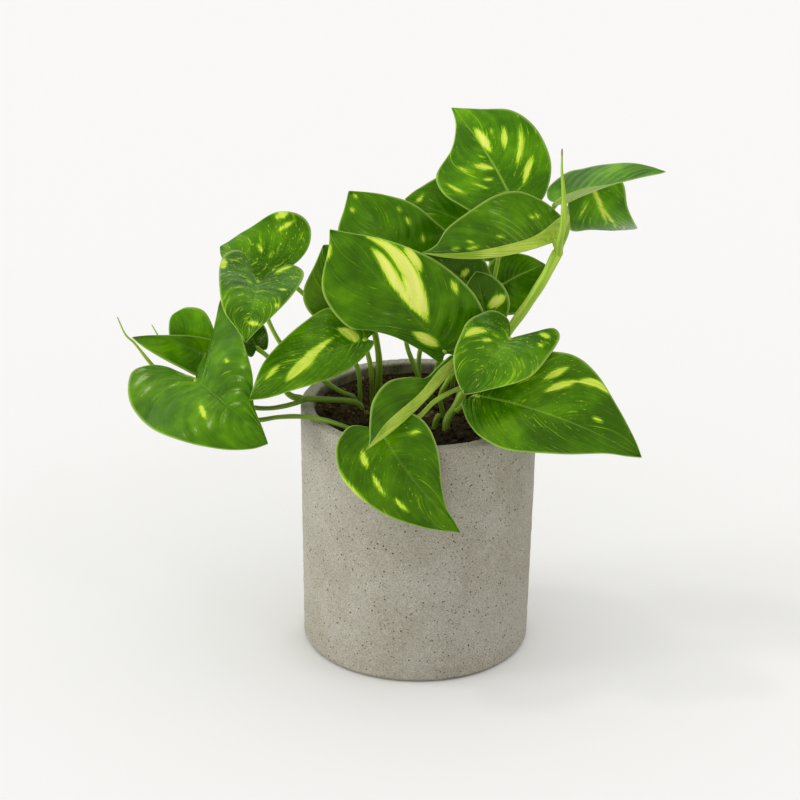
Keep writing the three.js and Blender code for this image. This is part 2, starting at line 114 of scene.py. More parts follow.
# Each blade by its number: junction and tip, the way its face looks, fold of the right and of the left half
# at base and tip in degrees, arch of the midrib out of the blade, sway of the midrib to the left, ripple of
# the margin, light or dark, where 1 is the usual green and which carries painted shade on leaf 8 and a
# painted sheen on leaves 6 and 18, how much yellow-green strokes and dots cover it, and the outline of each
# half as distance along the blade and distance out from the line junction to tip. A row leaves out what is
# as in USUAL_LEAF.
USUAL_LEAF = dict(face=(0, -0.8, 0.6), folds=((8, 5), (8, 5)), arch=4, sway=0, wave=0.6)
LEAVES = {
    1: dict(
        base=(53, 35, 263), tip=(17, 82, 305), face=(-0.1, -0.7, 0.7), folds=((10, 6), (10, 6)),
        sway=-2, wave=1, tone=1.25, flecks=0.6,
        left=[(-6, 8), (2, 22), (11, 29), (22, 34), (35, 31), (47, 14), (60, 4)],
        right=[(-9, 7), (-6, 19), (8, 31), (30, 34), (49, 28), (61, 14)]),
    2: dict(
        base=(45, 62, 231), tip=(-10, 70, 252), folds=((6, 6), (6, 6)), tone=1.05, flecks=0.4,
        left=[(-7, 6), (-2, 15), (20, 21), (42, 14)],
        right=[(-7, 6), (2, 17), (22, 24), (42, 22), (54, 9)]),
    3: dict(
        base=(76.5, 9, 249.7), tip=(0.3, -24.5, 252.5), face=(0, -0.2, 0.98), folds=((48, 40), (84, 80)),
        arch=-7.5, wave=0.8, tone=1.0, flecks=0.4,
        left=[(-6, 8), (-6, 17), (1, 18), (7, 14), (14, 10.5), (24, 9), (36, 8), (48, 7), (66, 5)],
        right=[(-8, 8), (-5, 15), (3, 26), (15, 36), (29, 37), (45, 30), (62, 19), (72, 8)]),
    4: dict(
        base=(81, 15, 270), tip=(138, 5, 293), face=(0, -0.1, 1), folds=((36, 26), (14, 10)),
        arch=2, wave=0.8, tone=1.15, flecks=0.1,
        left=[(-9, 8), (-9, 20), (2, 28), (12, 27), (25, 24), (43, 15), (55, 7)],
        right=[(-5, 6), (-3, 12), (4, 15), (14, 15), (27, 13), (42, 10), (54, 6)]),
    5: dict(
        base=(97, 40, 275), tip=(113.6, 57, 238.4), face=(0, -0.87, -0.3), folds=((8, 4), (8, 4)),
        arch=6, tone=1.45, flecks=0.6,
        left=[(-5, 5), (0, 14), (6, 19), (22, 16), (38, 15), (49, 14), (51.5, 12), (49, 7)],
        right=[(-5, 6), (-2, 12), (8, 16), (24, 21), (30, 19), (34, 10)]),
    # Leaf 6's raised tone is a painted sheen.
    6: dict(
        base=(3, 33, 211), tip=(-43, 45, 265), face=(0, -0.75, 0.65), folds=((12, 6), (10, 5)),
        arch=5, wave=1, tone=1.2, flecks=0.35,
        left=[(-8, 8), (-2, 18), (12, 24), (30, 28), (45, 31), (58, 22), (66, 9)],
        right=[(-11, 9), (-6, 24), (9, 30), (26, 27), (43, 23), (57, 14), (65, 7)]),
    7: dict(
        base=(14, -14, 188), tip=(-53, 8, 254), face=(0, -0.9, 0.42), folds=((12, 6), (10, 5)),
        arch=6, sway=-1, wave=1.2, tone=0.95, flecks=0.3,
        left=[(-3, 6), (8, 9), (25, 15), (38, 23), (48, 31), (64, 31), (77, 25), (89, 8)],
        right=[(-10, 6), (-12, 18), (-5, 29), (10, 35), (26, 35), (42, 32), (57, 26), (72, 18), (87, 7)]),
    # Leaf 8's low tone is painted shade.
    8: dict(
        base=(-28, 11, 194), tip=(-57, 18, 241), face=(-0.3, -0.8, 0.5), wave=0.8, tone=0.7, flecks=0.1,
        left=[(-3, 8), (2, 15), (13, 23), (28, 27), (39, 23), (49, 9)],
        right=[(-4, 7), (2, 16), (18, 22), (38, 18), (50, 9)]),
    9: dict(
        base=(-32, -15, 195), tip=(-97, -45, 169), face=(-0.1, -0.5, 0.85), folds=((6, 5), (-30, -25)),
        arch=3, sway=-3, wave=1, tone=1.05, flecks=0.8,
        left=[(-4, 4), (5, 9), (20, 12), (40, 11), (58, 7), (68, 4)],
        right=[(-9, 3), (-11, 10), (-4, 22), (8, 30), (22, 29), (40, 24), (58, 16), (70, 6)]),
    10: dict(
        base=(-86, 25, 222), tip=(-119, 48, 228), folds=((12, 6), (6, 5)), wave=0.8, tone=1.0, flecks=0.9,
        left=[(-9, 4), (-6, 11), (9, 14), (25, 11), (36, 5)],
        right=[(-9, 9), (-12, 21), (-8, 32), (1, 36), (14, 31), (24, 19), (34, 8)]),
    11: dict(
        base=(-94, 0, 224), tip=(-99, -42, 203), face=(0, -0.75, 0.65), folds=((6, 3), (6, 3)),
        wave=1, tone=1.1, flecks=1.0,
        left=[(-10, 5), (-18, 15), (-13, 24), (-2, 25), (14, 20), (29, 12), (41, 4)],
        right=[(-12, 5), (-25, 13), (-24, 20), (-14, 24), (6, 22), (28, 16), (40, 6)]),
    12: dict(
        base=(51, -28, 202), tip=(25, -63, 182), face=(0, -0.7, 0.7), folds=((8, 3), (14, 3)),
        arch=5, wave=1, tone=1.05, flecks=0.9,
        left=[(-8, 4), (-20, 12), (-23, 18), (-15, 24), (11, 26), (25, 22), (41, 8)],
        right=[(-7, 4), (-13, 10), (-10, 20), (8, 24), (20, 22), (33, 18), (43, 9)]),
    13: dict(
        base=(33, -46, 174), tip=(126, -66, 146), face=(0.05, -0.72, 0.69), folds=((8, 4), (8, 5)),
        arch=5, sway=3, wave=1.2, tone=0.9, flecks=0.65,
        left=[(-8, 7), (-4, 17), (8, 27), (24, 36), (42, 41), (58, 36), (76, 22), (92, 8)],
        right=[(-7, 5), (-4, 12), (2, 19), (12, 25), (29, 27), (55, 18), (78, 7), (91, 3)]),
    14: dict(
        base=(-22, -64, 158), tip=(24, -88, 108), face=(0, -0.9, 0.4), folds=((4, 2), (4, 2)),
        sway=-2, wave=1.2, tone=0.78, flecks=0.5,
        left=[(-7, 6), (-2, 16), (5, 22), (16, 23), (30, 18), (45, 8), (56, 2.6), (65, 1.3)],
        right=[(-8, 4), (-14, 12), (-10, 24), (3, 32), (20, 32), (39, 26), (56, 15), (65, 7), (69, 3)]),
    15: dict(
        base=(20, -37.2, 189), tip=(-31, -93.2, 159.5), face=(-0.2, -0.5, 0.85), folds=((42, 24), (98, 92)),
        arch=-5.3, tone=0.9, flecks=0.15,
        left=[(-5, 6), (5, 9), (13, 11), (29, 10), (56, 11), (67, 8)],
        right=[(-3, 6), (8, 8), (18, 9), (25, 16), (37, 23), (51, 21), (62, 13), (73, 3)]),
    16: dict(
        base=(-130, -12, 167), tip=(-86, -56, 147), face=(-0.1, -0.68, 0.72), folds=((2, 2), (8, 4)),
        arch=5, wave=1.2, tone=1.0, flecks=0.0,
        left=[(-6, 6), (-12, 21), (-24, 38), (-29, 48), (-14, 45), (12, 32), (28, 23), (42, 11), (57, 4)],
        right=[(-6, 1), (-22, 4), (-34, 11), (-38, 22), (-22, 35), (6, 39), (30, 33), (50, 21), (61, 9)]),
    17: dict(
        base=(-126, 15, 172), tip=(-168, 1, 188), face=(-0.1, -0.75, 0.65), folds=((20, 20), (6, 4)),
        arch=3, sway=-2, wave=0.8, tone=1.1, flecks=0.0,
        left=[(-6, 6), (-3, 12), (6, 15), (20, 12), (39, 5)],
        right=[(-6, 5), (-2, 10), (10, 9), (24, 6), (38, 3)]),
    # Leaf 18's high tone is a painted sheen.
    18: dict(
        base=(-129, 22, 169), tip=(-146, 24, 194), face=(0.1, -0.9, 0.3), arch=3, tone=1.45, flecks=0.2,
        left=[(-4, 4), (1, 10), (10, 12), (21, 9), (28, 4)],
        right=[(-4, 5), (2, 11), (11, 15), (22, 16), (29, 9)]),
    19: dict(
        base=(-95.5, 8, 180), tip=(-108, 22, 195), face=(0.3, -0.6, 0.7),
        arch=2, wave=0.5, tone=0.75, flecks=0.3,
        left=[(-4, 6), (2, 11), (12, 10), (20, 5)],
        right=[(-3, 5), (3, 9), (13, 10), (21, 6)]),
    20: dict(
        base=(39, 5, 199), tip=(32, 12, 228), folds=((8, 6), (8, 6)), arch=3, wave=0.5, tone=0.85, flecks=0.3,
        left=[(-4, 5), (3, 11), (14, 12), (24, 8)],
        right=[(-4, 5), (0, 11), (10, 15), (20, 13), (27, 7)]),
    21: dict(
        base=(45, 44, 206), tip=(74, 48, 220), arch=3, tone=0.95, flecks=0.2,
        left=[(-4, 6), (1, 13), (12, 16), (25, 9)],
        right=[(-6, 7), (-3, 17), (10, 21), (25, 12)]),
    22: dict(
        base=(35, 26, 210), tip=(2, 18, 237), arch=3, tone=0.8, flecks=0.2,
        left=[(-5, 5), (2, 13), (17, 17), (32, 11)],
        right=[(-5, 5), (2, 13), (16, 17), (32, 11)]),
}
LEAVES = {number: {**USUAL_LEAF, **leaf} for number, leaf in LEAVES.items()}

# Looks of some blades, by leaf number. How pale a midrib is, from 0 to 1:
USUAL_PALE_RIB = 0.12
PALE_RIB = {1: 0.8, 2: 0.3, 13: 0.35, 14: 0.15, 16: 0.1, 21: 0.8}

# How much of the lit yellow-green some undersides get, a painted light over their own paler green, from 0 to
# 1.
PAINTED_LIGHT_UNDER = {3: 1.0, 4: 0.6, 15: 0.75}

# The palest that the streaks of a blade get: yellow-green near 0.6, cream at 1.
CREAM_CAP = {9: 0.70, 10: 0.72, 11: 0.72, 12: 0.75, 13: 0.66, 14: 0.74, 16: 0.78}

# Cream streaks: half the streak's width in millimetres, then points on the blade as station, 0 at the
# junction and 1 at the tip, and share of the way out, -1 at the right margin and 1 at the left.
STREAKS = {
    1: [(2.7, (0.82, -0.16), (0.64, -0.08)), (1.9, (0.58, 0.33), (0.53, 0.04)),
        (1.7, (0.68, -0.62), (0.58, -0.32)), (1.6, (0.61, -0.82), (0.54, -0.65), (0.43, -0.35)),
        (1.9, (0.43, -0.7), (0.38, -0.52), (0.29, -0.38)), (1.1, (0.49, 0.86), (0.39, 0.7)),
        (0.8, (0.59, 0.62), (0.52, 0.38)), (0.8, (0.46, 0.27), (0.44, 0.14)),
        (0.7, (0.45, 0.46), (0.38, 0.3)), (0.8, (0.73, -0.43), (0.7, -0.34))],
    2: [(1.1, (0.93, -0.1), (0.87, -0.6))],
    3: [(0.7, (0.73, -0.5), (0.7, -0.42)), (0.9, (0.75, -0.33), (0.69, -0.3)),
        (0.6, (0.56, -0.38), (0.52, -0.32)), (0.8, (0.34, -0.59), (0.31, -0.55)),
        (0.8, (0.3, -0.64), (0.27, -0.6)), (0.6, (0.83, -0.44), (0.79, -0.38)),
        (0.7, (0.82, -0.08), (0.78, -0.05))],
    5: [(1.6, (0.2, 0), (0.44, 0.1), (0.6, 0.09), (0.84, 0)), (1.0, (0.5, 0.1), (0.86, 0.32)),
        (0.7, (0.44, -0.25), (0.56, -0.66))],
    6: [(1.0, (0.9, 0.64), (0.88, 0.54)), (0.9, (0.97, -0.25), (0.95, -0.15)),
        (0.8, (0.74, -0.76), (0.71, -0.68)), (1.0, (0.67, -0.63), (0.63, -0.57)),
        (1.0, (0.54, -0.6), (0.5, -0.5))],
    7: [(3.4, (0.82, -0.6), (0.75, -0.42), (0.68, -0.24), (0.58, -0.12), (0.46, -0.1)),
        (3.4, (0.66, -0.42), (0.56, -0.24), (0.44, -0.1)),
        (4.2, (0.85, -0.97), (0.76, -0.84), (0.68, -0.66), (0.6, -0.46), (0.52, -0.3), (0.42, -0.12)),
        (2.6, (0.71, -1), (0.6, -0.7)), (1.4, (0.48, -0.9), (0.42, -0.79)),
        (2.9, (0.35, 0.34), (0.28, 0.22), (0.19, 0.06)), (1.2, (0.93, 0.95), (0.86, 0.97))],
    9: [(3.3, (0.78, 0.42), (0.71, 0.08), (0.62, -0.12), (0.52, -0.22), (0.42, -0.28)),
        (3.4, (0.36, -0.44), (0.28, -0.26), (0.22, -0.05)), (1.3, (0.87, -0.46), (0.77, -0.46))],
    10: [(2.6, (0.58, -0.9), (0.53, -0.98)), (1.3, (0.46, -0.88), (0.51, -0.6)),
         (1.0, (0.6, -0.3), (0.52, -0.18))],
    11: [(2.2, (0.47, -0.92), (0.38, -0.94)), (1.6, (0.23, 0.62), (0.27, 0.95)),
         (1.5, (0.84, -0.1), (0.86, 0.8)), (1.1, (0.7, 0.86), (0.66, 0.74)),
         (0.8, (0.52, 0.75), (0.49, 0.55))],
    12: [(2.5, (0.61, -0.92), (0.52, -0.72), (0.42, -0.52)), (1.4, (0.54, -0.44), (0.46, -0.3)),
         (1.8, (0.25, 0.7), (0.33, 0.8)), (1.2, (0.41, 0.76), (0.36, 0.66))],
    13: [(1.9, (0.48, 0.5), (0.53, 0.8)), (2.0, (0.52, 0.32), (0.6, 0.7)),
         (2.2, (0.6, 0.7), (0.66, 0.9), (0.72, 0.98)), (1.1, (0.8, 0.42), (0.76, 0.36))],
    14: [(1.8, (0.3, -0.49), (0.41, -0.53)), (1.2, (0.59, -0.66), (0.46, -0.53)),
         (1.1, (0.73, -0.68), (0.64, -0.58)), (1.1, (0.34, 0.55), (0.38, 0.78)),
         (1.3, (0.37, -0.98), (0.56, -0.99))],
    16: [(1.6, (0.55, -0.25), (0.67, -0.39)), (1.3, (0.52, 0.52), (0.49, 0.47))],
    20: [(3.0, (0.5, -0.16), (0.56, -0.86))],
    22: [(1.9, (0.58, -0.04), (0.53, -0.36))],
}

# Points along the middle of each stem, from its place in the soil or inside its parent stem. A leaf stalk,
# petiole, runs on into the junction of the leaf with its number.
STEMS = {
    "vine_right": [
        (16, -23, 134.5), (16.4, -22.8, 149), (21, -20, 156), (26, -16, 164), (41, -4, 182), (53, 1, 198),
        (63, 3, 213), (72, 4, 229), (78, 5, 242)],
    "vine_left": [
        (-34, 4, 134.5), (-34, 4, 144.5), (-37, 3.4, 147.4), (-43, 2, 149.4), (-53, -2, 151.6),
        (-64, -5, 153.4), (-71, -6.3, 154)],
    "stub_left": [
        (-69.5, -6.1, 153.9), (-74.2, -6, 155.2), (-77.4, -6.2, 158), (-76.6, -6.4, 162.2)],
    "stub_centre": [
        (9, -20, 134.5), (9.5, -20, 146), (11, -20, 150)],
    "spike_right": [
        (79, 4, 243), (79, 0, 251), (80.5, -3, 262), (80.5, -6, 273), (79.5, -8, 286), (78.3, -8, 297),
        (78, -7, 309)],
    "spike_left_a": [
        (-116, 5, 152), (-119, 14, 150), (-131, 20, 148), (-146, 24, 150), (-157, 23, 160), (-168.5, 16, 179),
        (-172.5, 12, 185), (-176.5, 5, 199)],
    "spike_left_b": [
        (-117.5, 9.5, 155.5), (-123, 9, 159), (-132, 12, 161), (-143, 12.5, 168), (-149, 11.5, 177),
        (-157, 9, 193)],
}
STALKS = {
    1: [(26, 22, 134.5), (26.4, 22.4, 149), (30, 28, 160), (39, 32, 190), (44, 35, 218), (46, 37, 229),
        (49, 38, 246)],
    2: [(20, 40, 134.5), (21, 41, 149), (28, 47, 162), (36, 55, 190), (42, 65, 212), (44.5, 69, 223)],
    3: [(78, 5, 241), (78.4, 5.6, 243.7), (77.4, 7.4, 246.6)],
    4: [(79, 6, 241.5), (80.5, 10, 244.5), (84, 13.5, 254), (83.5, 17, 263)],
    5: [(77.5, 6, 240), (78, 13, 246), (75, 22, 249), (74, 36, 253), (80, 48, 259), (89, 51, 269)],
    6: [(1, 29, 134.5), (0.5, 29, 148), (-1.5, 29.5, 157), (-8, 31, 176), (-6, 37, 192), (0, 40.5, 203)],
    7: [(7, 20, 134.5), (7.3, 19, 149), (9, 12, 160), (10, 4, 170), (12, -6, 181)],
    8: [(-24, 26, 134.5), (-24, 26, 149), (-24, 22, 168), (-26, 17, 184)],
    9: [(-28, 18, 134.5), (-28, 17.5, 149), (-28, 10, 160), (-29, -2, 175), (-31, -11, 188)],
    10: [(-35, 14, 134.5), (-35, 14, 149), (-37, 16, 166), (-46, 20, 178), (-55, 25, 191), (-68, 29, 205),
         (-80, 29, 216)],
    11: [(-37, 9, 134.5), (-38, 9, 148), (-46, 7, 153), (-56, 4, 161), (-68, 1, 170), (-79, -1, 183),
         (-88, -1, 200), (-93, 1, 217)],
    12: [(48, -2, 190), (48, -7, 192), (49.5, -14, 196), (50.5, -22, 199)],
    13: [(21.3, -21.5, 155), (22, -24.5, 155.5), (25, -31, 162), (30, -40, 170)],
    14: [(27, -16.8, 164.5), (29, -19, 165), (24, -26, 170), (16, -36, 171), (8, -42, 168), (-1, -53, 163),
         (-11, -56, 159), (-17, -59, 157.4)],
    15: [(14, -8, 134.5), (13.5, -8.5, 149), (12, -10, 156), (13, -14, 163), (16, -21.5, 172.5),
         (19.2, -31, 183.5)],
    16: [(-67, -6.4, 153.6), (-72, -10.6, 153), (-79, -12, 151.5), (-88, -12, 150), (-99, -10, 150),
         (-115, -7, 156), (-126, -8.5, 163)],
    17: [(-35, -38.5, 134.5), (-35.4, -38.5, 145), (-38.5, -37.7, 148), (-47, -36, 151), (-57, -34, 153),
         (-69, -31.5, 153.5), (-81, -27, 151), (-95, -20, 146), (-106, -10, 146), (-115, 3, 152),
         (-119, 15, 159), (-122, 21, 166)],
    18: [(-113, 1.5, 150.5), (-111, 4, 151), (-114, 14, 152), (-121, 23, 158), (-127, 26, 164)],
    19: [(-78, -3, 166), (-80, -4, 168), (-84, -1, 172), (-89, 4, 176)],
    20: [(22, 8, 134.5), (22.5, 8, 149), (28, 10, 163), (35, 12, 182), (38, 12, 190)],
    21: [(33, 16, 134.5), (33, 17, 149), (37, 26, 165), (40, 41, 185), (43, 50, 197)],
    22: [(0, 38, 134.5), (0, 38, 150), (0.5, 38.5, 168), (8, 40, 186), (23, 36.5, 200)],
}
STEMS.update((f"petiole_{number:02d}", path) for number, path in STALKS.items())

# Radius at the start and at the end, where it isn't STALK_RADIUS.
STEM_RADII = {"vine_right": (2.2, 3.2), "vine_left": (2, 1.8), "stub_left": (1.9, 1.7),
              "stub_centre": (1.8, 1.8), "spike_right": (2.2, 1), "spike_left_a": (1.9, 0.8),
              "spike_left_b": (1.3, 0.7), "petiole_08": (2.2, 1.8)}

# How yellow a stem is, and how brown the tip of a rolled new leaf is, from 0 to 1.
PALE_STEM = {"vine_right": 0.55, "spike_right": 0.6, "spike_left_a": 0.7, "spike_left_b": 0.7,
             "stub_left": 0.5, "stub_centre": 0.5, "petiole_03": 0.7, "petiole_14": 0.6, "petiole_15": 0.5}
BROWN_TIP = {"spike_right": 1.0, "spike_left_a": 0.25, "spike_left_b": 0.25}


def make_camera():
    """A camera where the photograph was taken from: it stands back from its target, looks down by its
    elevation and leans by its roll."""
    lift, roll = math.radians(CAMERA_ELEVATION), math.radians(CAMERA_ROLL)
    back = Vector((0, -math.cos(lift), math.sin(lift)))
    level_up = Vector((0, math.sin(lift), math.cos(lift)))
    level_right = Vector((1, 0, 0))
    right = level_right * math.cos(roll) + level_up * math.sin(roll)
    up = level_up * math.cos(roll) - level_right * math.sin(roll)
    data = bpy.data.cameras.new("camera")
    data.lens = CAMERA_LENS
    data.sensor_width = SENSOR_WIDTH
    data.clip_start, data.clip_end = 0.1, 50
    camera = bpy.data.objects.new("camera", data)
    place = (Vector(CAMERA_TARGET) + back * CAMERA_DISTANCE) * MM
    camera.matrix_world = Matrix.Translation(place) @ Matrix((right, up, back)).transposed().to_4x4()
    bpy.context.scene.collection.objects.link(camera)
    bpy.context.scene.camera = camera


def make_object(name, points, triangles, material, corner_uv=None, **values):
    """A smooth mesh of triangles from points in millimetres, with a UV pair for each corner and numbers for
    each point."""
    mesh = bpy.data.meshes.new(name)
    mesh.vertices.add(len(points))
    mesh.vertices.foreach_set("co", (points * MM).astype(np.float32).ravel())
    mesh.loops.add(triangles.size)
    mesh.loops.foreach_set("vertex_index", triangles.astype(np.int32).ravel())
    mesh.polygons.add(len(triangles))
    mesh.polygons.foreach_set("loop_start", np.arange(0, triangles.size, 3, dtype=np.int32))
    mesh.update(calc_edges=True)
    mesh.validate()
    mesh.shade_smooth()
    if corner_uv is not None:
        layer = mesh.uv_layers.new(name="surface")
        layer.uv.foreach_set("vector", corner_uv.astype(np.float32).ravel())
    for key, value in values.items():
        attribute = mesh.attributes.new(key, "FLOAT", "POINT")
        attribute.data.foreach_set("value", np.broadcast_to(value, len(points)).astype(np.float32))
    mesh.materials.append(material)
    made = bpy.data.objects.new(name, mesh)
    bpy.context.scene.collection.objects.link(made)
    return made


def numbered(points):
    """The numbers of a grid's points, and the same with each end row joined to one point."""
    numbers = np.arange(points[..., 0].size).reshape(points.shape[:2])
    joined = numbers.copy()
    joined[0], joined[-1] = numbers[0, 0], numbers[-1, 0]
    return numbers, joined


def grid_triangles(ids):
    """Two triangles for each cell of a grid of point numbers, the first of them (row, column),
    (row + 1, column), (row + 1, column + 1)."""
    p, q, r, s = ids[:-1, :-1], ids[1:, :-1], ids[1:, 1:], ids[:-1, 1:]
    return np.concatenate([np.stack([p, q, r], -1).reshape(-1, 3), np.stack([p, r, s], -1).reshape(-1, 3)])


def full_turn(count):
    """This many angles, evenly round a circle."""
    return np.linspace(0, 2 * math.pi, count, endpoint=False)


def unit(vectors):
    """The same directions, each one long."""
    return vectors / np.maximum(np.linalg.norm(vectors, axis=-1, keepdims=True), 1e-12)


def stretches(line):
    """The distance from each point of a line to the next."""
    return np.linalg.norm(np.diff(line, axis=0), axis=1)


def whole(triangles):
    """Which triangles have three different corners."""
    a, b, c = triangles.T
    return (a != b) & (b != c) & (c != a)


def point_normals(points, triangles):
    """The normal of each point: the sum of the cross products of its triangles' sides, made one long."""
    a, b, c = (points[triangles[:, k]] for k in range(3))
    cross = np.cross(b - a, c - a)
    total = np.stack([
        sum(np.bincount(triangles[:, corner], cross[:, k], len(points)) for corner in range(3))
        for k in range(3)
    ], -1)
    return unit(total)


def spline(points, samples):
    """A uniform Catmull-Rom curve through points: cubic in each stretch, its slopes half the chord of the
    neighbours."""
    p = np.asarray(points, float)
    last = len(p) - 1
    at = np.linspace(0, last, samples)
    k = np.minimum(at.astype(int), last - 1)
    w = (at - k)[:, None]
    before, here, there, after = p[np.maximum(k - 1, 0)], p[k], p[k + 1], p[np.minimum(k + 2, last)]
    v0, v1 = (there - before) / 2, (after - here) / 2
    cubic, square = 2 * here - 2 * there + v0 + v1, 3 * there - 3 * here - 2 * v0 - v1
    return cubic * w**3 + square * w**2 + v0 * w + here


def evenly(line, shares):
    """Points at these shares of a line's length."""
    run = np.r_[0, np.cumsum(stretches(line))]
    at = np.asarray(shares, float) * run[-1]
    return np.stack([np.interp(at, run, line[:, k]) for k in range(line.shape[1])], -1)


def centripetal(points, per_stretch=24):
    """A Catmull-Rom curve whose knots are the square roots of the distances, with each end point mirrored
    outwards."""
    p = np.asarray(points, float)
    p = np.vstack([2 * p[0] - p[1], p, 2 * p[-1] - p[-2]])
    x0, x1, x2, x3 = (p[k:len(p) - 3 + k][:, None] for k in range(4))
    pairs = ((x0, x1), (x1, x2), (x2, x3))
    d0, d1, d2 = (np.sqrt(np.linalg.norm(b - a, axis=-1, keepdims=True)) for a, b in pairs)
    v1 = ((x1 - x0) / d0 - (x2 - x0) / (d0 + d1) + (x2 - x1) / d1) * d1
    v2 = ((x2 - x1) / d1 - (x3 - x1) / (d1 + d2) + (x3 - x2) / d2) * d1
    w = np.linspace(0, 1, per_stretch, endpoint=False)[None, :, None]
    line = x1 + v1 * w + (3 * x2 - 3 * x1 - 2 * v1 - v2) * w**2 + (2 * x1 - 2 * x2 + v1 + v2) * w**3
    return np.vstack([line.reshape(-1, 3), p[-2]])


def patchy(x, y, size, seed):
    """Smooth random hills from 0 to 1 on a square lattice with cells of this size, blended cubically."""
    lattice = np.random.default_rng(seed).random((128, 128))
    u, v = x / size + 500, y / size + 500
    i, j = np.floor(u).astype(int), np.floor(v).astype(int)
    a, b = u - i, v - j
    a, b = a * a * (3 - 2 * a), b * b * (3 - 2 * b)
    i0, j0, i1, j1 = i % 128, j % 128, (i + 1) % 128, (j + 1) % 128
    low = lattice[i0, j0] * (1 - a) + lattice[i1, j0] * a
    high = lattice[i0, j1] * (1 - a) + lattice[i1, j1] * a
    return low * (1 - b) + high * b


class Amount:
    """A number that a finish's nodes work out. +, - and * with it add the node that does the sum."""

    def __init__(self, finish, socket):
        self.finish, self.socket = finish, socket

    def __add__(self, other):
        return self.finish.work("ADD", self, other)

    def __sub__(self, other):
        return self.finish.work("SUBTRACT", self, other)

    def __mul__(self, other):
        return self.finish.work("MULTIPLY", self, other)


class Finish:
    """A material's nodes, with short calls that add a node and join its inputs."""

    def __init__(self, name, **constants):
        self.material = bpy.data.materials.new(name)
        self.material.use_nodes = True
        self.tree = self.material.node_tree
        self.shader = self.tree.nodes["Principled BSDF"]
        for key, value in constants.items():
            self.shader.inputs[key.replace("_", " ")].default_value = value

    def node(self, kind, inputs=None, **settings):
        """A new node's outputs, once it has these settings and these inputs, by name or number."""
        made = self.tree.nodes.new(kind)
        for key, value in settings.items():
            setattr(made, key, value)
        for key, value in (inputs or {}).items():
            self.feed(made.inputs[key], value)
        return made.outputs

    def feed(self, socket, value):
        value = value.socket if isinstance(value, Amount) else value
        if isinstance(value, bpy.types.NodeSocket):
            self.tree.links.new(value, socket)
        elif isinstance(value, tuple) and len(value) == 3 and len(socket.default_value) == 4:
            socket.default_value = (*value, 1)
        else:
            socket.default_value = value

    def work(self, operation, a, b=0.0):
        return Amount(self, self.node("ShaderNodeMath", {0: a, 1: b}, operation=operation)[0])

    def place(self):
        return self.node("ShaderNodeTexCoord")["Object"]

    def surface_uv(self):
        return self.node("ShaderNodeUVMap", uv_map="surface")["UV"]

    def value(self, name):
        return Amount(self, self.node("ShaderNodeAttribute", attribute_name=name)["Fac"])

    def axes(self, vector):
        return [Amount(self, output) for output in self.node("ShaderNodeSeparateXYZ", {0: vector})]

    def scaled(self, vector, first, second):
        return self.node("ShaderNodeMapping", {"Vector": vector, "Scale": (first, second, 1)})[0]

    def noise(self, vector, scale, detail, roughness=0.5, distortion=0.0):
        inputs = {"Vector": vector, "Scale": scale, "Detail": detail, "Roughness": roughness}
        return Amount(self, self.node("ShaderNodeTexNoise", {**inputs, "Distortion": distortion})["Fac"])

    def cells(self, vector, scale, feature="F1"):
        inputs = {"Vector": vector, "Scale": scale}
        return Amount(self, self.node("ShaderNodeTexVoronoi", inputs, feature=feature)["Distance"])

    def step(self, value, low, high, to_low=0.0, to_high=1.0):
        inputs = {"Value": value, "From Min": low, "From Max": high, "To Min": to_low, "To Max": to_high}
        return Amount(self, self.node("ShaderNodeMapRange", inputs, interpolation_type="SMOOTHSTEP")[0])

    def mix(self, share, a, b, blend="MIX"):
        inputs = {"Factor": share, 6: a, 7: b}
        return self.node("ShaderNodeMix", inputs, data_type="RGBA", blend_type=blend)[2]

    def toned(self, colour, tone):
        """The colour times a grey that is this light."""
        grey = self.node("ShaderNodeCombineColor", {"Red": tone, "Green": tone, "Blue": tone})[0]
        return self.mix(1.0, colour, grey, "MULTIPLY")

    def bump(self, height, distance, strength):
        inputs = {"Height": height, "Distance": distance, "Strength": strength}
        return self.node("ShaderNodeBump", inputs)["Normal"]

    def end(self, colour, roughness, normal=None):
        self.feed(self.shader.inputs["Base Color"], colour)
        self.feed(self.shader.inputs["Roughness"], roughness)
        if normal is not None:
            self.feed(self.shader.inputs["Normal"], normal)
        return self.material


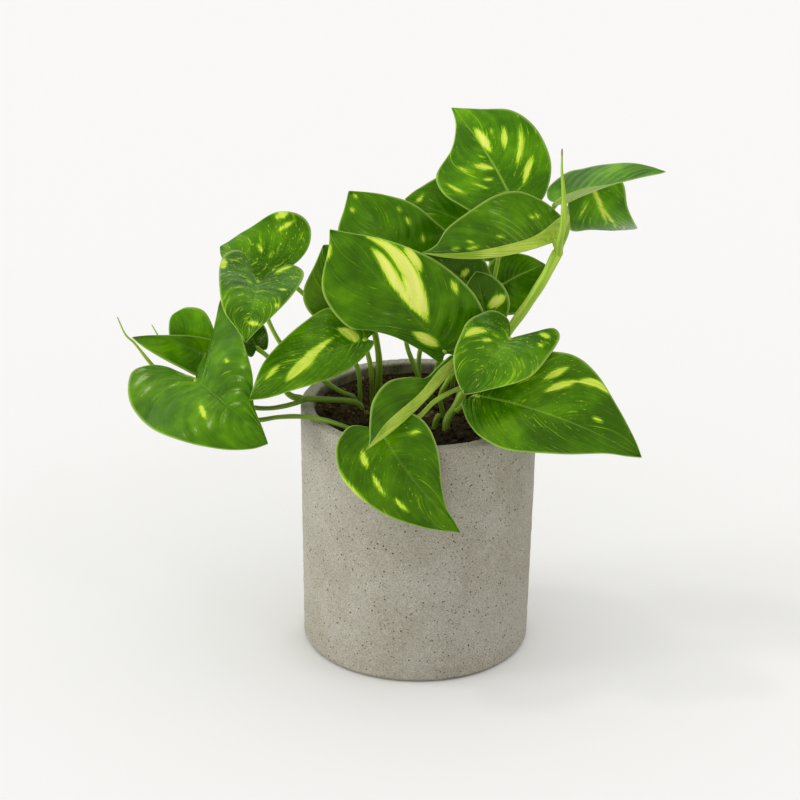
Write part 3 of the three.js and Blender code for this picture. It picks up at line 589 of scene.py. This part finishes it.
def leaf_finish():
    """Waxy green blade: blotchy greens drawn out along the veins, yellow-green strokes, cream streaks, a fine
    pale rib and margin, and a dull pale underside, painted lighter and yellower as painted light where the
    values say so."""
    f = Finish("leaf_wax", Specular_IOR_Level=0.40, Specular_Tint=(0.60, 0.86, 0.06, 1), Coat_Weight=0.12,
               Coat_Roughness=0.08)
    place, uv = f.place(), f.surface_uv()
    cream, rib, margin = f.value("cream"), f.value("rib"), f.value("margin")
    under, tone, flecks = f.value("under"), f.value("tone"), f.value("flecks")

    clouds = f.noise(place, 42, 3, 0.55)
    blotches = f.noise(f.scaled(uv, 20, 5), 1, 4, 0.6, 0.5)
    threads = f.noise(f.scaled(uv, 120, 8), 1, 3, 0.6, 0.3)
    depth = clouds * 0.72 + blotches * 0.28 + (threads - 0.5) * 0.05
    green = f.mix(f.step(depth, 0.38, 0.54), (0.021, 0.092, 0.0003), (0.043, 0.152, 0.0005))
    green = f.mix(f.step(depth, 0.50, 0.68), green, (0.098, 0.265, 0.001))
    strokes = f.noise(f.scaled(uv, 42, 9), 1, 4, 0.62, 0.4) + flecks * 0.10
    green = f.mix(f.step(strokes, 0.66, 0.76) * 0.70, green, (0.27, 0.50, 0.004))
    # Each leaf's lightness: its own tone, with painted shade on leaf 8 and a painted sheen on leaves 6 and
    # 18.
    green = f.toned(green, tone)

    ragged = f.noise(f.scaled(uv, 85, 17), 1, 5, 0.68, 0.5)
    field = cream + (ragged - 0.5) * 0.95
    green = f.mix(f.step(field, 0.18, 0.50) * 0.55, green, (0.20, 0.42, 0.008))
    pale = f.mix(f.step(field + threads * 0.6, 0.72, 1.15), (0.36, 0.58, 0.012), (0.64, 0.73, 0.10))
    pale = f.mix(f.step(field, 0.72, 1.0) * 0.5, pale, (0.80, 0.75, 0.24))
    colour = f.mix(f.step(field, 0.47, 0.56), green, pale)
    dots = f.noise(f.scaled(uv, 150, 45), 1, 2, 0.5, 0.2) + flecks * 0.10
    colour = f.mix(f.step(dots, 0.74, 0.79) * 0.8, colour, (0.46, 0.66, 0.05))

    wave = f.work("COSINE", f.value("vein") * (2 * math.pi * VEIN_COUNT))
    vein = f.step(wave, 0.975, 1.0)
    colour = f.mix(vein * 0.10, colour, (0.22, 0.42, 0.02))
    colour = f.mix(rib, colour, (0.30, 0.52, 0.06))
    colour = f.mix(margin * 0.6, colour, (0.38, 0.55, 0.10))

    mottle = f.step(depth + threads * 0.7, 0.66, 1.02)
    dull = f.mix(mottle, (0.125, 0.265, 0.014), (0.250, 0.400, 0.045))
    # A lit, paler copy of the underside colour: painted light, mixed in on some leaves.
    lit = f.mix(mottle, (0.19, 0.36, 0.014), (0.54, 0.67, 0.090))
    below = f.mix(f.value("pale_under"), dull, lit)
    below = f.mix(vein * 0.25, below, (0.40, 0.54, 0.13))
    below = f.mix(rib, below, (0.38, 0.53, 0.11))
    colour = f.mix(under, colour, below)

    height = threads * 0.5 + f.cells(place, 1500, "SMOOTH_F1") * 0.18 + blotches * 1.8
    rough = threads * 0.08 + clouds * 0.10 + (under * 0.20 + 0.11)
    return f.end(colour, rough, f.bump(height, 0.0003, 0.6))


def stalk_finish():
    """Smooth green stalk: pale lines along it, yellower and browner where the values say so, and painted
    shade that darkens it down in the pot."""
    f = Finish("stalk_skin", Specular_IOR_Level=0.35, Specular_Tint=(0.8, 0.95, 0.6, 1))
    place = f.place()
    pale, brown, tone = f.value("pale"), f.value("brown"), f.value("tone")
    lines = f.noise(f.scaled(f.surface_uv(), 9, 0.25), 1, 3, 0.6)
    clouds = f.noise(place, 60, 2, 0.5)
    green = f.mix(f.step(lines + clouds * 0.6, 0.55, 1.05), (0.075, 0.190, 0.004), (0.190, 0.370, 0.014))
    yellow = f.mix(f.step(lines, 0.3, 0.7), (0.27, 0.45, 0.020), (0.46, 0.62, 0.085))
    colour = f.toned(f.mix(pale, green, yellow), tone)
    _, _, up = f.axes(place)
    # Painted shade: the stalk darkens below and just above the rim, down in the pot.
    colour = f.mix(f.step(up, 0.144, 0.172, 0.62, 0.0), colour, (0.030, 0.062, 0.004))
    spots = f.step(f.noise(place, 420, 2, 0.5), 0.66, 0.72)
    colour = f.mix(spots * 0.25, colour, (0.10, 0.14, 0.015))
    colour = f.mix(brown, colour, (0.16, 0.085, 0.025))
    return f.end(colour, lines * 0.15 + 0.32, f.bump(lines, 0.0003, 0.5))


def concrete_finish():
    """Cast concrete: cloudy warm grey, dense pinholes left by air and painted dark with shade, fine grit, a
    darker brown inner wall and a painted shade line along the foot."""
    f = Finish("cast_concrete", Specular_IOR_Level=0.2)
    place = f.place()
    x, y, up = f.axes(place)
    clouds = f.noise(place, 24, 5, 0.62, 0.4)
    mottle = f.noise(place, 110, 4, 0.65)
    grit = f.noise(place, 1150, 3, 0.7)
    colour = f.mix(f.step(clouds, 0.36, 0.64), (0.322, 0.300, 0.236), (0.376, 0.359, 0.300))
    colour = f.mix(f.step(mottle, 0.42, 0.66) * 0.30, colour, (0.440, 0.420, 0.352))
    colour = f.mix(f.step(grit, 0.36, 0.56, 0.52, 0.0), colour, (0.165, 0.145, 0.105))
    colour = f.mix(f.step(grit, 0.55, 0.68, 0.0, 0.32), colour, (0.64, 0.61, 0.53))
    fine = f.step(f.cells(place, 360), 0.11, 0.17, 0.9, 0.0)
    broad = f.step(f.cells(place, 185), 0.075, 0.11, 1.0, 0.0)
    # The pinholes painted near black: a painted shade inside each hole.
    shaded_pinhole = f.work("MAXIMUM", fine, broad)
    colour = f.mix(shaded_pinhole * 0.92, colour, (0.040, 0.034, 0.024))
    # Painted shade along the foot, where the pot stands on the floor.
    painted_foot_shade = f.step(up, 0.0002, 0.0028, 1.0, 0.0)
    colour = f.mix(painted_foot_shade * 0.45, colour, (0.12, 0.105, 0.08))
    reach = f.work("SQRT", x * x + y * y)
    # The inner wall, and the inner edge of the rim more faintly, turn a darker brown.
    inner = f.step(reach, 0.0612, 0.0635, 1.0, 0.0) * f.step(up, 0.1475, 0.1495, 1.0, 0.25)
    inner_brown = f.mix(f.step(mottle, 0.38, 0.62), (0.045, 0.036, 0.012), (0.200, 0.165, 0.100))
    colour = f.mix(inner * 0.85, colour, inner_brown)
    height = grit * 0.45 - shaded_pinhole * 1.5 + mottle * 0.5
    return f.end(colour, mottle * 0.15 + 0.72, f.bump(height, 0.00035, 0.8))


def soil_finish():
    """Moist potting soil: near-black brown with rusty crumbs, some of them fibres and bark, and painted shade
    that darkens it towards the front."""
    f = Finish("potting_soil", Specular_IOR_Level=0.12)
    place = f.place()
    clumps = f.noise(place, 130, 3, 0.6)
    grains = f.noise(place, 700, 3, 0.65)
    colour = f.mix(f.step(clumps, 0.35, 0.7), (0.016, 0.010, 0.003), (0.070, 0.042, 0.012))
    colour = f.mix(f.step(grains, 0.55, 0.75) * 0.7, colour, (0.15, 0.092, 0.030))
    colour = f.mix(f.value("lightness"), colour, (0.24, 0.155, 0.060))
    _, back, _ = f.axes(place)
    # Painted shade: darker towards the front, where the leaves and the front rim shade the soil.
    colour = f.mix(f.step(back, -0.045, 0.02, 0.78, 0.0), colour, (0.010, 0.008, 0.003))
    return f.end(colour, grains * 0.2 + 0.76, f.bump(grains + clumps, 0.0008, 0.9))


def bend(u):
    """A low hill over 0 to 1, 4u(1 - u), that runs on below 0 as a line that flattens out, 4u / (1 - 2u)."""
    return np.where(u < 0, 4 * u / (1 - 2 * np.minimum(u, 0)), 4 * u * (1 - u))


def blade_frame(leaf):
    """Junction, direction to the tip, direction of the face, direction to the left, and length."""
    base = np.array(leaf["base"], float)
    along = np.array(leaf["tip"], float) - base
    length = np.linalg.norm(along)
    along = along / length
    up = np.array(leaf["face"], float)
    up = up - up @ along * along
    up = up / np.linalg.norm(up)
    return base, along, up, np.cross(up, along), length


def half_outline(leaf, half, samples):
    """The margin of one half from junction to tip, as distance along the blade and distance out."""
    return spline([(0, 0), *leaf[half], (blade_frame(leaf)[-1], 0)], samples)


def blade_surface(leaf, s, t):
    """Points of the blade's middle surface. s runs from 0 at the junction to 1 at the tip, t from -1 at the
    right margin through 0 on the midrib to 1 at the left one. A point is the midrib's point at s to a power
    plus t of the way to the margin's point at that share of the margin's length; the halves fold up along
    the midrib as a rounded V, the whole arches and sways, and the margin ripples."""
    base, along, up, left, length = blade_frame(leaf)
    s, t = np.broadcast_arrays(np.asarray(s, float), np.asarray(t, float))
    right_half = t < 0
    side = np.where(right_half, -1.0, 1.0)
    share = np.abs(t)
    margins = [evenly(half_outline(leaf, half, 800), s.ravel()).reshape(*s.shape, 2)
               for half in ("right", "left")]
    margin = np.where(right_half[..., None], margins[0], margins[1])
    rib = length * s**RIB_POWER
    rib_out = leaf["sway"] * bend(rib / length)
    a = rib + (margin[..., 0] - rib) * share
    y = rib_out + (side * margin[..., 1] - rib_out) * share
    u = a / length
    sway = leaf["sway"] * bend(u)
    out = side * (y - sway)
    reach = np.clip(u, 0, 1)
    folds = [first + (last - first) * reach for first, last in leaf["folds"]]
    fold = np.radians(np.where(right_half, folds[0], folds[1]))
    rise = np.sin(fold) * (np.sqrt(out**2 + FOLD_ROUND**2) - FOLD_ROUND)
    ripple = leaf["wave"] * share**2 * np.sin(math.pi * s) * np.sin(RIPPLE_PACE * s + side + length)
    across = sway + side * out * np.cos(fold)
    points = (base + a[..., None] * along + across[..., None] * left
              + (leaf["arch"] * bend(u) + rise + ripple)[..., None] * up)
    return points, out, u, np.hypot(margin[..., 0] - rib, margin[..., 1])


def vein_place(s, t):
    """The number that stays the same along a side vein: s less the slope times t, bowed in the middle."""
    share = np.abs(t)
    return s - VEIN_SLOPE * share + VEIN_BOW * share * (1 - share)


def streak_field(number, points):
    """How far each point lies inside the nearest cream streak: 0.5 on its edge, more inside, less outside.
    A streak is a line over the blade whose half width swells and shrinks as the sine of the way along."""
    field = np.full(len(points), -9.0)
    for half_width, *corners in STREAKS.get(number, []):
        s, t = evenly(np.array(corners, float), np.linspace(0, 1, STREAK_STEPS)).T
        line = blade_surface(LEAVES[number], s, t)[0]
        start, step = line[:-1], np.diff(line, axis=0)
        gap = points[:, None] - start[None]
        share = np.clip((gap * step).sum(-1) / np.maximum((step**2).sum(-1), 1e-9), 0, 1)
        distance = np.linalg.norm(gap - share[..., None] * step, axis=-1)
        way = (np.arange(len(step)) + share) / len(step)
        inside = half_width * np.sin(math.pi * np.clip(way, 0.02, 0.98))**0.7 - distance
        field = np.maximum(field, inside.max(1))
    return np.clip(0.5 + field / STREAK_SOFTNESS, 0, 1)


def make_blade(number, leaf, material):
    """A closed thin blade: the middle surface moved up and down along its normals, with a rounded margin, a
    channel along the top of the midrib, a ridge below it, and quilting between the side veins."""
    length = blade_frame(leaf)[-1]
    outline = max(stretches(half_outline(leaf, half, 200)).sum() for half in ("left", "right"))
    widest = max(out for half in ("left", "right") for _, out in leaf[half])
    stations = int(np.clip(outline / STATION_SPACING, 40, 130))
    steps = int(np.clip(widest / STEP_SPACING, 12, 34))
    s = np.linspace(0, 1, stations + 1)[:, None]
    column = np.arange(-steps, steps + 1)[None] / steps
    t = np.sign(column) * np.abs(column)**STEP_POWER
    points, out, u, reach = blade_surface(leaf, s, t)
    s, t = np.broadcast_arrays(s, t)
    vein = vein_place(s, t)

    places, ids = numbered(points)
    cells = grid_triangles(ids)
    flat = points.reshape(-1, 3)
    normals = point_normals(flat, cells[whole(cells)])
    taper = np.clip(1 - 0.8 * u, 0.15, 1).ravel()
    out, share = np.abs(out).ravel(), np.abs(t).ravel()
    quilt = QUILT_DEPTH * (1 - np.cos(2 * math.pi * VEIN_COUNT * vein.ravel()))
    quilt = quilt * np.sin(math.pi * np.clip(share, 0, 1))**0.6
    hills = patchy(flat[:, 0] + flat[:, 2], flat[:, 1] - flat[:, 2], UNEVEN_SIZE, number)
    uneven = UNEVEN_DEPTH * (hills - 0.5) * share
    channel = -CHANNEL_DEPTH * taper * np.exp(-(out / (0.8 * taper))**2)
    flat = flat + normals * (quilt + uneven + channel)[:, None]
    ridge = RIDGE_HEIGHT * taper * np.exp(-(out / (1.1 * taper))**2) * np.clip(1.05 - s.ravel(), 0, 1)
    top = flat + normals * BLADE_HALF_THICKNESS
    below = flat - normals * (BLADE_HALF_THICKNESS + ridge)[:, None]

    outwards = unit(np.stack([points[:, 0] - points[:, 1], points[:, -1] - points[:, -2]]))
    outwards[:, [0, -1]] = 0
    margins = ids[:, [0, -1]].T
    rim = flat[margins] + outwards * BLADE_HALF_THICKNESS * 0.9

    count = len(flat)
    edges = places[:, [0, -1]].T
    rim_ids = 2 * count + np.arange(edges.size).reshape(edges.shape)
    sheet = grid_triangles(places)
    corners = np.concatenate([
        sheet, sheet[:, ::-1] + count,
        grid_triangles(np.stack([edges[0] + count, rim_ids[0], edges[0]], -1)),
        grid_triangles(np.stack([edges[1], rim_ids[1], edges[1] + count], -1))])
    joined = np.concatenate([ids.ravel(), ids.ravel() + count, rim_ids.ravel()])
    joined[rim_ids[1, [0, -1]]] = rim_ids[0, [0, -1]]
    triangles = joined[corners]
    keep = whole(triangles)
    uv = np.stack([vein * length, t * reach], -1).reshape(-1, 2) / UV_UNIT
    uv = np.concatenate([uv, uv, uv[edges.ravel()]])

    pale_margin = np.clip(1.15 - (1 - share) * reach.ravel() / PALE_MARGIN_WIDTH, 0, 1)
    rib_width = 0.55 * taper + 0.15
    pale_rib = np.clip(1.2 - out / rib_width, 0, 1) * np.clip(1.4 - u.ravel(), 0, 1)
    pale_rib = pale_rib * PALE_RIB.get(number, USUAL_PALE_RIB)
    under_rib = np.clip(1.3 - out / (1.5 * rib_width), 0, 1)
    cream = np.minimum(streak_field(number, flat), CREAM_CAP.get(number, 1))

    def everywhere(above, under):
        return np.concatenate([above, under, above[margins.ravel()]])

    return make_object(
        f"blade_{number:02d}", np.concatenate([top, below, rim.reshape(-1, 3)]), triangles[keep], material,
        uv[corners[keep]].reshape(-1, 2),
        cream=everywhere(cream, cream * 0.9), margin=everywhere(pale_margin, pale_margin),
        rib=everywhere(pale_rib, under_rib), vein=everywhere(vein.ravel(), vein.ravel()),
        under=everywhere(np.zeros(count), np.ones(count)), tone=leaf["tone"], flecks=leaf["flecks"],
        pale_under=PAINTED_LIGHT_UNDER.get(number, 0.0))


def stem_line(name, stalk):
    """The stem's middle line. A leaf stalk runs on to just below its leaf's junction."""
    path = [np.array(point, float) for point in STEMS[name]]
    if stalk:
        base, _, up, _, _ = blade_frame(LEAVES[int(name[-2:])])
        path.append(base - 0.5 * up)
    return centripetal(path)


def make_stem(name, material):
    """A stem carried along its line: at each ring a circle of the stem's radius, which swells at the foot and
    below the blade and has a shallow channel on one side. Both ends close as half balls, and a rolled new
    leaf runs out to a point."""
    stalk, spike = name.startswith("petiole"), name.startswith("spike")
    line = stem_line(name, stalk)
    run = stretches(line).sum()
    rings = int(np.clip(run / RING_SPACING, 10, 150))
    shares = np.linspace(0, 1, rings + 1)
    centre = evenly(line, shares)
    tangent = unit(np.gradient(centre, axis=0))
    plane = np.linalg.svd(tangent)[2][-1]
    across = unit(plane - (tangent @ plane)[:, None] * tangent)
    other = np.cross(tangent, across)
    start, end = STEM_RADII.get(name, (STALK_RADIUS, STALK_RADIUS))
    radius = start + (end - start) * shares
    if stalk:
        radius = radius * (1 + KNEE_SWELL * np.exp(-((1 - shares) * run / KNEE_REACH)**2))
    radius = radius * (1 + FOOT_SWELL * np.exp(-(shares * run / FOOT_REACH)**2))
    radius = radius * (1 + 0.04 * np.sin(shares * run / 3.1 + len(name)))
    if spike:
        swell = 0.25 * np.exp(-((shares - 0.45) / 0.2)**2)
        radius = radius * (0.35 + 0.65 * np.sqrt(np.clip(1 - shares, 0, 1)) + swell)

    cap = np.linspace(0, math.pi / 2, 5)[:-1]
    lead, close = np.cos(cap), np.sin(cap)
    centre = np.vstack([centre[0] - tangent[0] * (radius[0] * lead)[:, None], centre,
                        centre[-1] + tangent[-1] * (radius[-1] * lead[::-1])[:, None]])
    radius = np.r_[radius[0] * close, radius, radius[-1] * close[::-1]]
    pad = len(cap)
    across, other = (np.pad(way, ((pad, pad), (0, 0)), "edge") for way in (across, other))
    shares = np.pad(shares, pad, "edge")

    angle = np.linspace(0, 2 * math.pi, STALK_SIDES + 1)
    groove = 0.0 if spike else GROOVE_DEPTH
    ring = radius[:, None] * (1 - groove * np.exp(-(np.angle(np.exp(1j * (angle - 1.2))) / 0.45)**2))[None]
    points = (centre[:, None] + (ring * np.cos(angle))[..., None] * across[:, None]
              + (ring * np.sin(angle))[..., None] * other[:, None])
    places, ids = numbered(points)
    ids[:, -1] = ids[:, 0]
    corners = grid_triangles(places)[:, ::-1]
    triangles = ids.ravel()[corners]
    keep = whole(triangles)
    along = np.broadcast_to(shares[:, None], ids.shape)
    uv = np.stack([np.broadcast_to(angle / (2 * math.pi), ids.shape), along * run / 10], -1).reshape(-1, 2)
    pale = PALE_STEM.get(name, 0.35) + 0.25 * along
    brown = np.clip((along - 0.93) / 0.05, 0, 1) * BROWN_TIP.get(name, 0.0)
    return make_object(
        "skin_" + name, points.reshape(-1, 3), triangles[keep], material,
        uv[corners[keep]].reshape(-1, 2), pale=np.clip(pale, 0, 1).ravel(), brown=brown.ravel(), tone=1.0)


def quarter(corner, start, end):
    """Points of a rounded corner from start to end with its handle at corner, a quadratic curve."""
    w = np.linspace(0, 1, 7)[:, None]
    return (1 - w)**2 * np.array(start) + 2 * w * (1 - w) * np.array(corner) + w**2 * np.array(end)


def pot_outline():
    """Radius and height round the pot's wall, from the middle of the foot, up outside, over the rim and down
    inside."""
    rim, foot = POT_RIM_RADIUS, POT_FOOT_RADIUS
    inner_rim = rim - POT_WALL
    foot_start, foot_end = (foot - POT_FOOT_ROUND, 0), (foot, POT_FOOT_ROUND)
    rim_start, rim_end = (rim, POT_HEIGHT - POT_RIM_ROUND), (rim - POT_RIM_ROUND, POT_HEIGHT)
    lip_start, lip_end = (inner_rim + POT_INNER_ROUND, POT_HEIGHT), (inner_rim, POT_HEIGHT - POT_INNER_ROUND)
    inner_foot, middle = (foot - POT_WALL, POT_FLOOR), (0, POT_FLOOR)

    def straight(start, end, count):
        return np.linspace(start, end, count)[1:-1]

    return np.vstack([
        [(0, 0)], straight((0, 0), foot_start, 8), quarter((foot, 0), foot_start, foot_end),
        straight(foot_end, rim_start, 110), quarter((rim, POT_HEIGHT), rim_start, rim_end),
        straight(rim_end, lip_start, 6), quarter((inner_rim, POT_HEIGHT), lip_start, lip_end),
        straight(lip_end, inner_foot, 30), [inner_foot], straight(inner_foot, middle, 6), [middle]])


def turned_piece(name, radius, height, material, **values):
    """A closed turned shape: radius and height are arrays over (profile point, turn), poles at both ends."""
    angle = full_turn(radius.shape[1])[None]
    points = np.stack([radius * np.cos(angle), radius * np.sin(angle), height], -1)
    _, ids = numbered(points)
    triangles = grid_triangles(np.hstack([ids, ids[:, :1]]))
    triangles = triangles[whole(triangles)]
    flat = points.reshape(-1, 3)
    a, b, c = (flat[triangles[:, k]] for k in range(3))
    if np.einsum("ij,ij->i", a, np.cross(b, c)).sum() < 0:
        triangles = triangles[:, ::-1]
    return make_object(name, flat, triangles, material, **{k: np.ravel(v) for k, v in values.items()})


def make_pot(material):
    """The cast pot: its outline turned about the upright axis, the wall a little uneven, the rim worn."""
    outline = pot_outline()
    angle = full_turn(POT_TURNS)[None]
    radius, height = outline[:, :1] + 0 * angle, outline[:, 1:] + 0 * angle
    x, y = np.cos(angle), np.sin(angle)
    uneven = 0.22 * np.sin(3 * angle + 0.03 * height) + 0.15 * np.sin(5 * angle - 0.05 * height + 1)
    uneven = uneven + 0.5 * (patchy(70 * x + 3 * height, 70 * y + height, 11, 5) - 0.5)
    outside = np.clip((radius - POT_FOOT_RADIUS + 9) / 3, 0, 1)
    near_rim = np.exp(-((height - POT_HEIGHT) / 2.5)**2)
    chips = near_rim * np.clip(patchy(90 * x, 90 * y, 2.6, 9) - 0.66, 0, 1) * 1.4
    radius = np.where(radius > 1, radius - 0.4 - 0.4 * chips + 0.6 * uneven * outside, radius)
    height = height - chips * (height > POT_HEIGHT - 3) * 0.8
    return turned_piece("pot_shell", radius, height, material)


def soil_height(x, y):
    """The lie of the soil: hills of four sizes, flatter near the wall, and a lip that rises against it."""
    radius = np.hypot(x, y)
    hills = sum(depth * (patchy(x, y, size, seed) - 0.5) for size, depth, seed in SOIL_HILLS)
    banked = hills * np.clip((SOIL_RADIUS + 1 - radius) / 5, 0.25, 1)
    return SOIL_TOP - 0.6 + banked + 1.0 * (radius / SOIL_RADIUS)**4


def make_soil(material):
    """The body of soil, with its crumbly top, down to the pot's floor."""
    angle = full_turn(SOIL_TURNS)[None]
    share = np.linspace(1, 0, SOIL_RINGS + 1)[:, None]
    top_radius = SOIL_RADIUS * share + 0 * angle
    top = soil_height(top_radius * np.cos(angle), top_radius * np.sin(angle))
    levels = np.linspace(SOIL_BOTTOM, SOIL_TOP - 3, 14)[:, None] + 0 * angle
    wall = SOIL_RADIUS - 1.9 * (SOIL_TOP - levels) / SOIL_TOP
    foot = np.stack([0 * angle[0], 0.5 * wall[0]])
    radius = np.vstack([foot, wall, top_radius])
    height = np.vstack([0 * foot + SOIL_BOTTOM, levels, top])
    return turned_piece("soil_bed", radius, height, material, lightness=0 * radius)


def make_crumbs(material):
    """Loose crumbs on the soil: a small ball of 80 faces, stretched, roughened and turned for each crumb."""
    ball = bpy.data.meshes.new("ball")
    shape = bmesh.new()
    bmesh.ops.create_icosphere(shape, subdivisions=2, radius=1.0)
    shape.to_mesh(ball)
    shape.free()
    round_points = np.zeros((len(ball.vertices), 3))
    ball.vertices.foreach_get("co", round_points.ravel())
    faces = np.zeros((len(ball.polygons), 3), int)
    ball.loops.foreach_get("vertex_index", faces.ravel())
    bpy.data.meshes.remove(ball)
    rng = np.random.default_rng(CRUMB_SEED)
    reach = (SOIL_RADIUS - 1.5) * np.sqrt(rng.random(CRUMBS))
    turn = 2 * math.pi * rng.random(CRUMBS)
    x, y = reach * np.cos(turn), reach * np.sin(turn)
    size = 0.45 + 1.3 * rng.random(CRUMBS)**2.2
    stretch = 0.55 + 0.9 * rng.random((CRUMBS, 3))
    count = len(round_points)
    rough = 1 + 0.28 * (rng.random((CRUMBS, count)) - 0.5)
    spin = np.linalg.qr(rng.normal(size=(CRUMBS, 3, 3)))[0]
    spin = spin * np.sign(np.linalg.det(spin))[:, None, None]
    shapes = round_points[None] * rough[..., None] * stretch[:, None] * size[:, None, None]
    shapes = np.einsum("nij,nkj->nki", spin, shapes)
    middle = np.stack([x, y, soil_height(x, y) + 0.25 * size], -1)
    points = (shapes + middle[:, None]).reshape(-1, 3)
    triangles = (faces[None] + count * np.arange(CRUMBS)[:, None, None]).reshape(-1, 3)
    lightness = np.repeat(np.clip(rng.random(CRUMBS)**5 * 1.1, 0, 1), count)
    return make_object("soil_crumbs", points, triangles, material, lightness=lightness)


def make_studio():
    """A matt white paper floor, a pale sky that lights from everywhere, and three suns: one broad and low on
    the left, two small and high."""
    scene = bpy.context.scene
    scene.view_settings.view_transform = "Standard"
    scene.view_settings.look = "None"
    index = np.arange(FLOOR_SIDES)
    angle = full_turn(FLOOR_SIDES)
    ring = np.stack([FLOOR_RADIUS * np.cos(angle), FLOOR_RADIUS * np.sin(angle), 0 * angle - FLOOR_DROP], -1)
    points = np.vstack([[(0, 0, -FLOOR_DROP)], ring])
    triangles = np.stack([0 * index, 1 + index, 1 + (index + 1) % FLOOR_SIDES], -1)
    paper = Finish("pale_floor", Specular_IOR_Level=0.1).end(FLOOR_COLOUR, 0.9)
    floor = make_object("floor", points, triangles, paper)

    world = bpy.data.worlds.new("studio")
    world.use_nodes = True
    sky = world.node_tree.nodes["Background"]
    sky.inputs["Color"].default_value = SKY_COLOUR
    sky.inputs["Strength"].default_value = SKY_STRENGTH
    scene.world = world
    for name, (strength, place, softness) in SUNS.items():
        data = bpy.data.lights.new(name, "SUN")
        data.energy = strength
        data.angle = math.radians(softness)
        sun = bpy.data.objects.new(name, data)
        sun.location = Vector(place)
        sun.rotation_euler = (-Vector(place)).to_track_quat("-Z", "Y").to_euler()
        scene.collection.objects.link(sun)


make_camera()
make_studio()
leaf_material, stalk_material = leaf_finish(), stalk_finish()
pot_piece = make_pot(concrete_finish())
soil_material = soil_finish()
pieces = [(pot_piece, "pot", "concrete"), (make_soil(soil_material), "soil", "soil")]
crumbs = make_crumbs(soil_material)
for leaf_number, leaf_shape in LEAVES.items():
    pieces.append((make_blade(leaf_number, leaf_shape, leaf_material), f"leaf_{leaf_number:02d}", "leaf"))
for stem_name in STEMS:
    pieces.append((make_stem(stem_name, stalk_material), stem_name, "stem"))

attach(crumbs, "root")
for piece, node_name, slot_name in pieces:
    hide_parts(node_name)
    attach(piece, "root")
